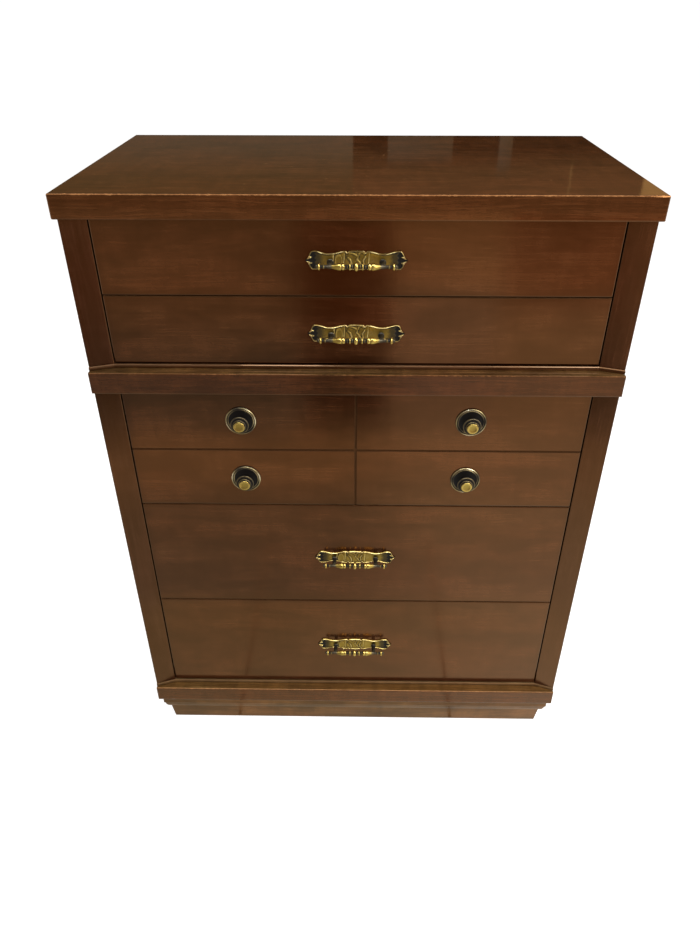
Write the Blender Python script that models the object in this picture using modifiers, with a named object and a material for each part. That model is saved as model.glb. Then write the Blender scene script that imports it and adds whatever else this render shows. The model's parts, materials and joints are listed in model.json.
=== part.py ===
"""Tallboy: a five-drawer chest with canted stiles and antique brass pulls.

The chest stands on the floor at z = 0, faces -Y and is centred on the origin.
Lengths are in metres. Inside the script y is counted backwards from the front
edge of the top, and an empty named case_origin moves that to the centre.
"""

import math

import bmesh
import bpy
from mathutils import Matrix

# Top
TOP_WIDTH = 0.866
TOP_DEPTH = 0.485
TOP_THICKNESS = 0.036
TOP_SIDE_OVERHANG = 0.0045
TOP_BACK_OVERHANG = 0.002
TOP_EDGE_ROUND = 0.0022

# Front of the case, seen from the floor up
SKIRT_HEIGHT = 0.081
BASE_RAIL_HEIGHT = 0.038
BASE_LIP_HEIGHT = 0.0070
BOTTOM_OPENING = 0.2361
FOURTH_OPENING = 0.236
THIRD_OPENING = 0.2358
MID_RAIL_HEIGHT = 0.037
MID_LIP_HEIGHT = 0.0070
SECOND_OPENING = 0.1123
LIP_REVEAL = 0.0024
TOP_OPENING = 0.119

# Setbacks of the front members behind the front edge of the top
MID_RAIL_SETBACK = 0.0025
BASE_RAIL_SETBACK = 0.005
DRAWER_SETBACK = 0.024
STILE_OUTER_SETBACK = 0.0115
LIP_PROUD = 0.0015
LIP_ROUND = 0.0032
LIP_SINK = 0.0004
RAIL_ROUND = 0.0018
BASE_RAIL_LOWER_ROUND = 0.004

# Case
STILE_WIDTH = 0.038
STILE_EDGE_ROUND = 0.001
SIDE_THICKNESS = 0.018
BACK_THICKNESS = 0.005
BACK_RABBET = 0.009
SHELF_THICKNESS = 0.012
SHELF_RISE = 0.006
DADO_DEPTH = 0.006
GUIDE_HEIGHT = 0.018
GUIDE_BACK_GAP = 0.012

# Skirt moulding, as insets from the rail's face
SKIRT_THICKNESS = 0.036
BEAD_INSET = 0.0072
BEAD_BOTTOM = 0.0618
BEAD_ROUND = 0.002
OVOLO_INSET = 0.0180
OVOLO_BOTTOM = 0.041
OVOLO_BULGE = 0.0015
PLINTH_TOP_INSET = 0.0185
PLINTH_FOOT_INSET = 0.0225
FOOT_ROUND = 0.0025
SKIRT_BACK_THICKNESS = 0.018

# Drawers
REVEAL = 0.002
FRONT_THICKNESS = 0.020
FRONT_EDGE_ROUND = 0.0012
BOX_SIDE_THICKNESS = 0.012
BOX_BACK_THICKNESS = 0.012
BOX_BOTTOM_THICKNESS = 0.005
BOX_TOP_DROP = 0.022
BOX_BACK_CLEARANCE = 0.014
BOTTOM_RAISE = 0.009
BOTTOM_GROOVE = 0.005
BACK_HOUSING = 0.004
TAIL_LENGTH = 0.012
TAIL_PITCH = 0.045
TAIL_SHARE = 0.55
TAIL_SLOPE = 1 / 6
SCORE_WIDTH = 0.004
SCORE_DEPTH = 0.002

# Pulls, a little below the middle of their drawers
PULL_DROP = 0.0032
PLATE_THICKNESS = 0.003
PLATE_LENGTH = 0.152
PLATE_CENTRE_HEIGHT = 0.0290
PLATE_NOTCH_HEIGHT = 0.0236
PLATE_NOTCH_AT = 0.0135
PLATE_FLAT_HEIGHT = 0.0278
PLATE_FLAT_AT = 0.0155
PLATE_WAIST_HEIGHT = 0.0194
PLATE_WAIST_AT = 0.041
PLATE_SHOULDER_HEIGHT = 0.0282
PLATE_SHOULDER_AT = 0.063
PLATE_CORNER_HEIGHT = 0.0150
PLATE_CORNER_AT = 0.0698
BAR_STANDOFF = 0.024
BAR_DROP = 0.0025
BAR_LENGTH = 0.1215
BAR_SHAFT_RADIUS = 0.0024
BAR_CORE_RADIUS = 0.0032
BEAD_RADIUS = 0.00685
BEAD_WIDTH = 0.0064
BEAD_SHOULDER_AT = 0.0020
BEAD_SHOULDER_RADIUS = 0.0060
RING_AT = 0.0094
RING_RADIUS = 0.0054
RING_WIDTH = 0.0024
RING_FLAT_SHARE = 0.6
VASE_START = 0.0170
VASE_END = 0.0410
VASE_RADIUS = 0.0053
# Along the vase, as shares of its length and of its radius
VASE_SWELL = ((0.06, 0.90), (0.20, 1.00), (0.55, 0.72))
SMALL_RING_AT = 0.0478
SMALL_RING_RADIUS = 0.0036
COLLAR_AT = 0.0547
COLLAR_RADIUS = 0.0055
COLLAR_WIDTH = 0.0032
POST_SPACING = 0.078
POST_RADIUS = 0.0038

# Knobs, in the middle of the quarters of their drawer, a little low
KNOB_DROP = 0.0009
KNOB_PLATE_RADIUS = 0.026
KNOB_PLATE_RIM = 0.0034
KNOB_PLATE_RIM_SHOULDER = 0.0027
KNOB_PLATE_RIM_EDGE = 0.0017
KNOB_PLATE_RIM_WIDTH = 0.0035
KNOB_PLATE_FLOOR = 0.0012
KNOB_PLATE_SLOPE = 0.0012
KNOB_PLATE_STEP_RADIUS = 0.0188
KNOB_PLATE_STEP = 0.0024
KNOB_REACH = 0.0245
KNOB_FACE_RADIUS = 0.0092
KNOB_MIDDLE_RADIUS = 0.0121
KNOB_OUTER_RADIUS = 0.0159
KNOB_STEP = 0.0036
KNOB_CHAMFER = 0.0008
KNOB_UNDERCUT = 0.0036
KNOB_NECK_RADIUS = 0.0065
KNOB_STEM_RADIUS = 0.004
KNOB_FOOT = 0.0042

# Clearance left between pieces that touch, and how far a cutter overshoots
SEAT_GAP = 0.0003
OVERSHOOT = 0.002

# Facets of turned pieces, and steps in rounded edges and curved outlines
BAR_SIDES = 16
KNOB_SIDES = 24
KNOB_PLATE_SIDES = 36
POST_SIDES = 12
EASED_STEPS = 2
LIP_STEPS = 3
RAIL_STEPS = 5
OVOLO_STEPS = 4
CURVE_STEPS = 4
ROUND_PROFILE = 0.5
WELD_DISTANCE = 0.00001
FLAT_ANGLE = 0.001

# Sizes worked out from the ones above
CASE_HALF = TOP_WIDTH / 2 - TOP_SIDE_OVERHANG
CASE_BACK = TOP_DEPTH - TOP_BACK_OVERHANG
OPENING_HALF = CASE_HALF - STILE_WIDTH
PANEL_INNER = CASE_HALF - SIDE_THICKNESS
FRAME_BACK = DRAWER_SETBACK + FRONT_THICKNESS
PANEL_FRONT = FRAME_BACK + SEAT_GAP
SHELF_BACK = CASE_BACK - BACK_THICKNESS - SEAT_GAP
BASE_LIP_TOP = SKIRT_HEIGHT + BASE_RAIL_HEIGHT + BASE_LIP_HEIGHT
BOTTOM_BOTTOM = BASE_LIP_TOP + LIP_REVEAL
FOURTH_BOTTOM = BOTTOM_BOTTOM + BOTTOM_OPENING
THIRD_BOTTOM = FOURTH_BOTTOM + FOURTH_OPENING
MID_RAIL_BOTTOM = THIRD_BOTTOM + THIRD_OPENING
MID_LIP_TOP = MID_RAIL_BOTTOM + MID_RAIL_HEIGHT + MID_LIP_HEIGHT
SECOND_BOTTOM = MID_LIP_TOP + LIP_REVEAL
TOP_DRAWER_BOTTOM = SECOND_BOTTOM + SECOND_OPENING
CASE_TOP = TOP_DRAWER_BOTTOM + TOP_OPENING
PULL_REACH = BAR_STANDOFF + BEAD_RADIUS - DRAWER_SETBACK
CENTRE_Y = (TOP_DEPTH - PULL_REACH) / 2
FRONT_HALF = OPENING_HALF - REVEAL
BOX_INNER = FRONT_HALF - BOX_SIDE_THICKNESS
BOX_FRONT = FRAME_BACK + SEAT_GAP
BOX_BACK = SHELF_BACK - BOX_BACK_CLEARANCE
BOTTOM_HALF = BOX_INNER + BOTTOM_GROOVE - SEAT_GAP

# name, bottom and height of the opening, and the board that the drawer runs on
DRAWERS = (
    ("top_drawer", TOP_DRAWER_BOTTOM, TOP_OPENING, "dust_board_upper"),
    ("second_drawer", SECOND_BOTTOM, SECOND_OPENING, "mid_shelf"),
    ("third_drawer", THIRD_BOTTOM, THIRD_OPENING, "dust_board_middle"),
    ("fourth_drawer", FOURTH_BOTTOM, FOURTH_OPENING, "dust_board_lower"),
    ("bottom_drawer", BOTTOM_BOTTOM, BOTTOM_OPENING, "case_bottom"),
)
KNOB_DRAWER = "third_drawer"
SIDES = ((-1, "left"), (1, "right"))

# name: base colour, roughness, metallic
MATERIALS = {
    "top_veneer": ((0.095, 0.038, 0.014), 0.28, 0.0),
    "front_veneer": ((0.110, 0.046, 0.018), 0.36, 0.0),
    "stile_wood": ((0.058, 0.026, 0.012), 0.40, 0.0),
    "rail_wood": ((0.105, 0.048, 0.021), 0.38, 0.0),
    "skirt_wood": ((0.125, 0.062, 0.028), 0.42, 0.0),
    "side_veneer": ((0.090, 0.040, 0.017), 0.38, 0.0),
    "drawer_wood": ((0.420, 0.270, 0.140), 0.60, 0.0),
    "case_wood": ((0.330, 0.210, 0.115), 0.70, 0.0),
    "back_board": ((0.240, 0.150, 0.085), 0.75, 0.0),
    "antique_brass": ((0.450, 0.300, 0.090), 0.34, 1.0),
    "dark_brass": ((0.060, 0.050, 0.035), 0.45, 1.0),
}


def clear_scene():
    """Remove what a new file holds."""
    for obj in list(bpy.data.objects):
        bpy.data.objects.remove(obj, do_unlink=True)


def make_collection(name):
    """Make a collection in the scene."""
    collection = bpy.data.collections.new(name)
    bpy.context.scene.collection.children.link(collection)
    return collection


def make_materials():
    """Make one Principled BSDF for each finish."""
    made = {}
    for name, (colour, roughness, metallic) in MATERIALS.items():
        material = bpy.data.materials.new(name)
        material.use_nodes = True
        shader = material.node_tree.nodes["Principled BSDF"]
        shader.inputs["Base Color"].default_value = (*colour, 1.0)
        shader.inputs["Roughness"].default_value = roughness
        shader.inputs["Metallic"].default_value = metallic
        material.diffuse_color = (*colour, 1.0)
        made[name] = material
    return made


clear_scene()
PARTS = make_collection("tallboy")
CUTTERS = make_collection("cutters")
FINISH = make_materials()


def place(name, data, parent, location=(0, 0, 0), rotation=(0, 0, 0), finish=None):
    """Add a piece under its parent, or a cutter if it has no finish.

    A drawer's pieces are given in the coordinates of the whole chest, as the
    case's are, and the drawer's own empty is taken off again.
    """
    obj = bpy.data.objects.new(name, data)
    obj.parent = parent
    if parent.parent:
        obj.matrix_parent_inverse = Matrix.Translation(-parent.location)
    obj.location = location
    obj.rotation_euler = rotation
    if finish:
        PARTS.objects.link(obj)
        data.materials.clear()
        data.materials.append(FINISH[finish])
    else:
        CUTTERS.objects.link(obj)
        obj.hide_render = True
        obj.display_type = "WIRE"
    return obj


def make_empty(name, parent, location):
    """Add an empty that carries pieces."""
    empty = bpy.data.objects.new(name, None)
    empty.parent = parent
    empty.location = location
    PARTS.objects.link(empty)
    return empty


def box_mesh(name, size, rounded=None, width=0.0):
    """Make a box about its centre, with the edges that rounded picks eased."""
    mesh = bpy.data.meshes.new(name)
    body = bmesh.new()
    bmesh.ops.create_cube(body, size=1.0)
    bmesh.ops.scale(body, vec=size, verts=body.verts)
    if rounded:
        edges = [edge for edge in body.edges if rounded(edge)]
        bmesh.ops.bevel(body, geom=edges, offset=width, offset_type="OFFSET",
                        segments=EASED_STEPS, profile=ROUND_PROFILE, affect="EDGES")
    body.to_mesh(mesh)
    body.free()
    return mesh


def board(name, low, high, parent, finish=None, rounded=None, width=0.0):
    """Place a box between its lowest and highest corners."""
    size = [b - a for a, b in zip(low, high)]
    centre = [(a + b) / 2 for a, b in zip(low, high)]
    mesh = box_mesh(name, size, rounded, width)
    return place(name, mesh, parent, centre, (0, 0, 0), finish)


def outline_mesh(name, outlines, thickness, smooth=False):
    """Fill closed outlines in XY and give them a thickness along Z."""
    curve = bpy.data.curves.new(name, "CURVE")
    curve.dimensions = "2D"
    curve.fill_mode = "BOTH"
    curve.extrude = thickness / 2
    curve.resolution_u = CURVE_STEPS
    for outline in outlines:
        if smooth:
            spline = curve.splines.new("BEZIER")
            spline.bezier_points.add(len(outline) - 1)
            for point, (x, y, kind) in zip(spline.bezier_points, outline):
                point.co = (x, y, 0)
                point.handle_left_type = kind
                point.handle_right_type = kind
        else:
            spline = curve.splines.new("POLY")
            spline.points.add(len(outline) - 1)
            for point, (x, y) in zip(spline.points, outline):
                point.co = (x, y, 0, 1)
        spline.use_cyclic_u = True
    holder = bpy.data.objects.new(name, curve)
    CUTTERS.objects.link(holder)
    view = bpy.context.evaluated_depsgraph_get()
    mesh = bpy.data.meshes.new_from_object(holder.evaluated_get(view))
    bpy.data.objects.remove(holder)
    bpy.data.curves.remove(curve)
    body = bmesh.new()
    body.from_mesh(mesh)
    bmesh.ops.remove_doubles(body, verts=body.verts, dist=WELD_DISTANCE)
    body.to_mesh(mesh)
    body.free()
    mesh.name = name
    return mesh


def combine(obj, tool, operation):
    """Cut or join a piece with a tool object."""
    modifier = obj.modifiers.new(tool.name, "BOOLEAN")
    modifier.operation = operation
    modifier.solver = "EXACT"
    modifier.object = tool


def cut(obj, low, high, name):
    """Cut a box out of a piece, given in the coordinates of the piece's parent."""
    tool = board(name, low, high, obj.parent)
    combine(obj, tool, "DIFFERENCE")


def turned(name, profile, sides, parent, location, rotation, finish, closed=False):
    """Turn a profile of (radius, height), top to bottom, about Z."""
    mesh = bpy.data.meshes.new(name)
    points = [(radius, 0, height) for radius, height in profile]
    count = len(points)
    edges = [(i, i + 1) for i in range(count - 1)]
    if closed:
        edges.append((count - 1, 0))
    mesh.from_pydata(points, edges, [])
    obj = place(name, mesh, parent, location, rotation, finish)
    screw = obj.modifiers.new("turn", "SCREW")
    screw.axis = "Z"
    screw.angle = math.tau
    screw.steps = sides
    screw.render_steps = sides
    screw.use_merge_vertices = True
    screw.merge_threshold = WELD_DISTANCE
    return obj


def make_top(case):
    """The thick top with eased edges."""
    return board(
        "top_panel",
        (-TOP_WIDTH / 2, 0, CASE_TOP),
        (TOP_WIDTH / 2, TOP_DEPTH, CASE_TOP + TOP_THICKNESS),
        case, "top_veneer", lambda edge: True, TOP_EDGE_ROUND,
    )


def shelf_top(opening_bottom):
    """Height of the board that a drawer runs on."""
    return opening_bottom + SHELF_RISE


def make_side_panel(case, side, name):
    """A case side: dadoed for the shelves, rabbeted for the back, with drawer guides."""

    def span(inner, outer):
        """Order two distances from the centre plane as low and high x."""
        return sorted((side * inner, side * outer))

    low_x, high_x = span(PANEL_INNER, CASE_HALF)
    panel = board(
        name,
        (low_x, PANEL_FRONT, SKIRT_HEIGHT + SEAT_GAP),
        (high_x, CASE_BACK, CASE_TOP - SEAT_GAP),
        case, "side_veneer",
    )
    low_x, high_x = span(OPENING_HALF, PANEL_INNER + OVERSHOOT)
    for drawer, bottom, _, _ in DRAWERS:
        foot = shelf_top(bottom) + SEAT_GAP
        guide = board(
            f"{name}_{drawer}_guide",
            (low_x, PANEL_FRONT, foot),
            (high_x, SHELF_BACK - GUIDE_BACK_GAP, foot + GUIDE_HEIGHT),
            case,
        )
        combine(panel, guide, "UNION")
    low_x, high_x = span(PANEL_INNER - OVERSHOOT, PANEL_INNER + DADO_DEPTH)
    for drawer, bottom, _, _ in DRAWERS:
        top = shelf_top(bottom)
        cut(
            panel,
            (low_x, PANEL_FRONT - OVERSHOOT, top - SHELF_THICKNESS - SEAT_GAP),
            (high_x, CASE_BACK + OVERSHOOT, top + SEAT_GAP),
            f"{name}_{drawer}_dado",
        )
    low_x, high_x = span(PANEL_INNER - OVERSHOOT, PANEL_INNER + BACK_RABBET)
    cut(
        panel,
        (low_x, SHELF_BACK, -OVERSHOOT),
        (high_x, CASE_BACK + OVERSHOOT, CASE_TOP + OVERSHOOT),
        f"{name}_rabbet",
    )
    return panel


def make_back(case):
    """The thin back board, let into the rabbets of the sides."""
    half = PANEL_INNER + BACK_RABBET - SEAT_GAP
    return board(
        "back_panel",
        (-half, CASE_BACK - BACK_THICKNESS, SKIRT_HEIGHT + SEAT_GAP),
        (half, CASE_BACK, CASE_TOP - SEAT_GAP),
        case, "back_board",
    )


def make_shelves(case):
    """The boards under the drawers, housed in the dados of the sides."""
    half = PANEL_INNER + DADO_DEPTH - SEAT_GAP
    for _, bottom, _, name in DRAWERS:
        top = shelf_top(bottom)
        board(
            name,
            (-half, PANEL_FRONT, top - SHELF_THICKNESS),
            (half, SHELF_BACK, top),
            case, "case_wood",
        )


def canted_front(proud):
    """Plan points of the canted front, left to right, moved forwards by proud."""
    outer = STILE_OUTER_SETBACK - proud
    inner = DRAWER_SETBACK - proud
    return [(-CASE_HALF, outer), (-OPENING_HALF, inner), (OPENING_HALF, inner), (CASE_HALF, outer)]


def make_stile(case, side, name, bottom, top):
    """A post beside the drawers, whose front slants back towards them."""
    outline = [
        (side * CASE_HALF, FRAME_BACK),
        (side * CASE_HALF, STILE_OUTER_SETBACK),
        (side * OPENING_HALF, DRAWER_SETBACK),
        (side * OPENING_HALF, FRAME_BACK),
    ]
    length = top - bottom - 2 * SEAT_GAP
    stile = place(name, outline_mesh(name, [outline], length), case,
                  (0, 0, (bottom + top) / 2), (0, 0, 0), "stile_wood")
    edges = stile.modifiers.new("edges", "BEVEL")
    edges.width = STILE_EDGE_ROUND
    edges.segments = EASED_STEPS
    edges.limit_method = "ANGLE"
    return stile


def make_rail(case, name, setback, bottom, height, lip_height, lower_round):
    """A full-width rail with a thin rounded lip on top, which follows the canted stiles."""

    def front_edge(edge):
        """True on an edge along the rail's front."""
        return all(vert.co.y < 0 for vert in edge.verts) and is_along_x(edge)

    rail = board(
        name,
        (-CASE_HALF, setback, bottom),
        (CASE_HALF, FRAME_BACK, bottom + height),
        case, "rail_wood", front_edge, RAIL_ROUND,
    )
    if lower_round > RAIL_ROUND:
        tool = make_rounder(case, f"{name}_lower_round", setback, bottom, lower_round)
        combine(rail, tool, "DIFFERENCE")
    outline = canted_front(LIP_PROUD) + [(CASE_HALF, FRAME_BACK), (-CASE_HALF, FRAME_BACK)]
    lip_mesh = outline_mesh(f"{name}_lip", [outline], lip_height + LIP_SINK)
    round_front(lip_mesh)
    centre = bottom + height + (lip_height - LIP_SINK) / 2
    lip = place(f"{name}_lip", lip_mesh, case, (0, 0, centre))
    combine(rail, lip, "UNION")
    return rail


def is_along_x(edge):
    """True where an edge runs across the chest."""
    first, second = edge.verts
    return abs(first.co.x - second.co.x) > CASE_HALF


def make_rounder(case, name, setback, bottom, radius):
    """A cutter that rounds the lower front edge of a rail to a radius."""
    outline = []
    for i in range(RAIL_STEPS + 1):
        angle = math.pi / 2 * i / RAIL_STEPS
        inset = radius * (1 - math.cos(angle))
        rise = radius * (1 - math.sin(angle))
        outline.append((setback + inset, bottom + rise))
    outline += [
        (setback + radius, bottom - OVERSHOOT),
        (setback - OVERSHOOT, bottom - OVERSHOOT),
        (setback - OVERSHOOT, bottom + radius),
    ]
    mesh = outline_mesh(name, [outline], 2 * (CASE_HALF + OVERSHOOT))
    return place(name, mesh, case, (0, 0, 0), (math.pi / 2, 0, math.pi / 2))


def round_front(mesh):
    """Round the upper and lower front edges of a lip, which makes a bead of it."""
    body = bmesh.new()
    body.from_mesh(mesh)
    bmesh.ops.dissolve_limit(body, angle_limit=FLAT_ANGLE, verts=body.verts, edges=body.edges)
    edges = [
        edge for edge in body.edges
        if all(vert.co.y < FRAME_BACK - LIP_ROUND for vert in edge.verts)
        and edge.verts[0].co.z * edge.verts[1].co.z > 0
    ]
    bmesh.ops.bevel(body, geom=edges, offset=LIP_ROUND, offset_type="OFFSET",
                    segments=LIP_STEPS, profile=ROUND_PROFILE, affect="EDGES")
    body.to_mesh(mesh)
    body.free()


def skirt_profile():
    """Outline of the skirt as (inset, height): rounded bead, ovolo, then a plinth face."""
    top = SKIRT_HEIGHT - SEAT_GAP
    bead_eased = BEAD_ROUND * (1 - math.sqrt(0.5))
    foot_eased = FOOT_ROUND * (1 - math.sqrt(0.5))
    points = [
        (BEAD_INSET + BEAD_ROUND, BEAD_BOTTOM),
        (BEAD_INSET + bead_eased, BEAD_BOTTOM + bead_eased),
        (BEAD_INSET, BEAD_BOTTOM + BEAD_ROUND),
        (BEAD_INSET, top - BEAD_ROUND),
        (BEAD_INSET + bead_eased, top - bead_eased),
        (BEAD_INSET + BEAD_ROUND, top),
        (SKIRT_THICKNESS, top),
        (SKIRT_THICKNESS, 0),
        (PLINTH_FOOT_INSET + FOOT_ROUND, 0),
        (PLINTH_FOOT_INSET + foot_eased, foot_eased),
        (PLINTH_FOOT_INSET, FOOT_ROUND),
        (PLINTH_TOP_INSET, OVOLO_BOTTOM),
        (OVOLO_INSET, OVOLO_BOTTOM),
    ]
    start = BEAD_INSET + BEAD_ROUND
    for i in range(1, OVOLO_STEPS):
        share = i / OVOLO_STEPS
        bulge = OVOLO_BULGE * math.sin(math.pi * share)
        inset = OVOLO_INSET + (start - OVOLO_INSET) * share
        height = OVOLO_BOTTOM + (BEAD_BOTTOM - OVOLO_BOTTOM) * share
        points.append((inset - bulge, height - bulge))
    return points


def make_skirt_piece(case, name, length, location, turn, mitres):
    """A length of skirt moulding along X, its inset along +Y, mitred at chosen ends."""
    mesh = outline_mesh(name, [skirt_profile()], length)
    for vert in mesh.vertices:
        inset, height, along = vert.co
        end = 1 if along > 0 else -1
        if end in mitres:
            along -= end * inset
        vert.co = (along, inset, height)
    return place(name, mesh, case, location, (0, 0, turn), "skirt_wood")


def make_skirt(case):
    """The moulded skirt under the front and sides, and the plain board behind."""
    make_skirt_piece(case, "skirt_front", 2 * CASE_HALF, (0, BASE_RAIL_SETBACK, 0), 0, (-1, 1))
    front = BASE_RAIL_SETBACK + SEAT_GAP * math.sqrt(2)
    length = CASE_BACK - front
    middle = (CASE_BACK + front) / 2
    quarter = math.pi / 2
    make_skirt_piece(case, "skirt_right", length, (CASE_HALF, middle, 0), quarter, (-1,))
    make_skirt_piece(case, "skirt_left", length, (-CASE_HALF, middle, 0), -quarter, (1,))
    half = CASE_HALF - SKIRT_THICKNESS - SEAT_GAP
    board(
        "skirt_back",
        (-half, CASE_BACK - SKIRT_BACK_THICKNESS, 0),
        (half, CASE_BACK, SKIRT_HEIGHT - SEAT_GAP),
        case, "case_wood",
    )


def make_case(case):
    """Every fixed piece of the chest."""
    make_top(case)
    for side, word in SIDES:
        make_side_panel(case, side, f"side_panel_{word}")
        make_stile(case, side, f"stile_upper_{word}", MID_LIP_TOP, CASE_TOP)
        make_stile(case, side, f"stile_lower_{word}", BASE_LIP_TOP, MID_RAIL_BOTTOM)
    make_back(case)
    make_shelves(case)
    make_rail(case, "mid_rail", MID_RAIL_SETBACK, MID_RAIL_BOTTOM, MID_RAIL_HEIGHT,
              MID_LIP_HEIGHT, RAIL_ROUND)
    make_rail(case, "base_rail", BASE_RAIL_SETBACK, SKIRT_HEIGHT, BASE_RAIL_HEIGHT,
              BASE_LIP_HEIGHT, BASE_RAIL_LOWER_ROUND)
    make_skirt(case)


def tails(low, high):
    """Bottom and top, at the root, of each dovetail between two heights."""
    count = max(2, round((high - low) / TAIL_PITCH))
    pitch = (high - low) / count
    margin = pitch * (1 - TAIL_SHARE) / 2
    return [(low + pitch * i + margin, low + pitch * (i + 1) - margin) for i in range(count)]


def side_outline(low, high, bands):
    """Outline of a drawer side in (y, z), with its dovetails at the front."""
    tip = FRAME_BACK - TAIL_LENGTH
    flare = TAIL_LENGTH * TAIL_SLOPE
    outline = [(BOX_BACK, low), (BOX_BACK, high), (BOX_FRONT, high)]
    for foot, head in reversed(bands):
        outline += [(BOX_FRONT, head), (tip, head + flare), (tip, foot - flare), (BOX_FRONT, foot)]
    outline.append((BOX_FRONT, low))
    return outline


def socket_outline(foot, head):
    """Outline in (y, z) of the socket that takes one dovetail."""
    tip = FRAME_BACK - TAIL_LENGTH - SEAT_GAP
    mouth = FRAME_BACK + OVERSHOOT
    flare = TAIL_LENGTH * TAIL_SLOPE
    spill = OVERSHOOT * TAIL_SLOPE
    return [
        (mouth, foot - SEAT_GAP + spill), (mouth, head + SEAT_GAP - spill),
        (tip, head + flare + SEAT_GAP), (tip, foot - flare - SEAT_GAP),
    ]


def make_box(drawer, name, floor, opening_bottom, opening_top):
    """Sides, back and bottom of a drawer, jointed as a cabinet maker does."""
    low = floor + SEAT_GAP
    high = opening_top - BOX_TOP_DROP
    bands = tails(low, high)
    groove_low = low + BOTTOM_RAISE
    groove_high = groove_low + BOX_BOTTOM_THICKNESS
    back_front = BOX_BACK - BOX_BACK_THICKNESS
    upright = (math.pi / 2, 0, math.pi / 2)
    thickness = BOX_SIDE_THICKNESS
    for side, word in SIDES:
        part = f"{name}_side_{word}"
        mesh = outline_mesh(part, [side_outline(low, high, bands)], thickness)
        centre = (side * (FRONT_HALF - thickness / 2), 0, 0)
        piece = place(part, mesh, drawer, centre, upright, "drawer_wood")
        near, far = sorted((side * (BOX_INNER - OVERSHOOT), side * (BOX_INNER + BOTTOM_GROOVE)))
        cut(
            piece,
            (near, FRAME_BACK - TAIL_LENGTH - OVERSHOOT, groove_low - SEAT_GAP),
            (far, BOX_BACK + OVERSHOOT, groove_high + SEAT_GAP),
            f"{part}_groove",
        )
        near, far = sorted((side * (BOX_INNER - OVERSHOOT), side * (BOX_INNER + BACK_HOUSING)))
        cut(
            piece,
            (near, back_front - SEAT_GAP, groove_high),
            (far, BOX_BACK + OVERSHOOT, high + OVERSHOOT),
            f"{part}_housing",
        )
    half = BOX_INNER + BACK_HOUSING - SEAT_GAP
    board(
        f"{name}_back",
        (-half, back_front, groove_high + 2 * SEAT_GAP),
        (half, BOX_BACK, high),
        drawer, "drawer_wood",
    )
    board(
        f"{name}_bottom",
        (-BOTTOM_HALF, FRAME_BACK - BOTTOM_GROOVE + SEAT_GAP, groove_low),
        (BOTTOM_HALF, BOX_BACK, groove_high),
        drawer, "drawer_wood",
    )
    front = make_front(drawer, name, opening_bottom, opening_top)
    sockets = [socket_outline(foot, head) for foot, head in bands]
    width = thickness + SEAT_GAP + OVERSHOOT
    for side, word in SIDES:
        tool_name = f"{name}_sockets_{word}"
        mesh = outline_mesh(tool_name, sockets, width)
        centre = (side * (FRONT_HALF + OVERSHOOT - width / 2), 0, 0)
        combine(front, place(tool_name, mesh, drawer, centre, upright), "DIFFERENCE")
    cut(
        front,
        (-BOTTOM_HALF - SEAT_GAP, FRAME_BACK - BOTTOM_GROOVE, groove_low - SEAT_GAP),
        (BOTTOM_HALF + SEAT_GAP, FRAME_BACK + OVERSHOOT, groove_high + SEAT_GAP),
        f"{name}_front_groove",
    )
    return front


def make_front(drawer, name, opening_bottom, opening_top):
    """A drawer front, flush with its neighbours and a reveal apart from them."""
    low = (-FRONT_HALF, DRAWER_SETBACK, opening_bottom + REVEAL / 2)
    high = (FRONT_HALF, FRAME_BACK, opening_top - REVEAL / 2)

    def face_edge(edge):
        """True on the four edges of the show face."""
        return all(vert.co.y < 0 for vert in edge.verts)

    return board(f"{name}_front", low, high, drawer, "front_veneer", face_edge, FRONT_EDGE_ROUND)


def score_front(front, name, opening_bottom, opening_top):
    """Score a cross into a front, so that one drawer looks like four."""
    floor_y = DRAWER_SETBACK + SCORE_DEPTH
    open_y = DRAWER_SETBACK - OVERSHOOT
    half = SCORE_WIDTH / 2
    middle = (opening_bottom + opening_top) / 2
    cut(
        front,
        (-half, open_y, opening_bottom - OVERSHOOT),
        (half, floor_y, opening_top + OVERSHOOT),
        f"{name}_upright_score",
    )
    cut(
        front,
        (-FRONT_HALF - OVERSHOOT, open_y, middle - half),
        (FRONT_HALF + OVERSHOOT, floor_y, middle + half),
        f"{name}_level_score",
    )


def plate_outline():
    """Outline of a pull's backplate: pointed ends, round shoulders, waists and a notched middle."""
    right_top = [
        (PLATE_NOTCH_AT, PLATE_NOTCH_HEIGHT / 2, "VECTOR"),
        (PLATE_FLAT_AT, PLATE_FLAT_HEIGHT / 2, "VECTOR"),
        (PLATE_WAIST_AT, PLATE_WAIST_HEIGHT / 2, "AUTO"),
        (PLATE_SHOULDER_AT, PLATE_SHOULDER_HEIGHT / 2, "AUTO"),
        (PLATE_CORNER_AT, PLATE_CORNER_HEIGHT / 2, "AUTO"),
    ]
    tip = [(PLATE_LENGTH / 2, 0, "VECTOR")]
    right = right_top + tip + [(x, -z, kind) for x, z, kind in reversed(right_top)]
    top = [(0, PLATE_CENTRE_HEIGHT / 2, "AUTO")]
    foot = [(0, -PLATE_CENTRE_HEIGHT / 2, "AUTO")]
    left = [(-x, z, kind) for x, z, kind in reversed(right)]
    return top + right + foot + left


def ring(at, width, radius, base):
    """Points of a ring on a bar, as (distance from the middle, radius)."""
    flat = width * RING_FLAT_SHARE
    return [
        (at - width / 2, base),
        (at - flat / 2, radius),
        (at + flat / 2, radius),
        (at + width / 2, base),
    ]


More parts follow.
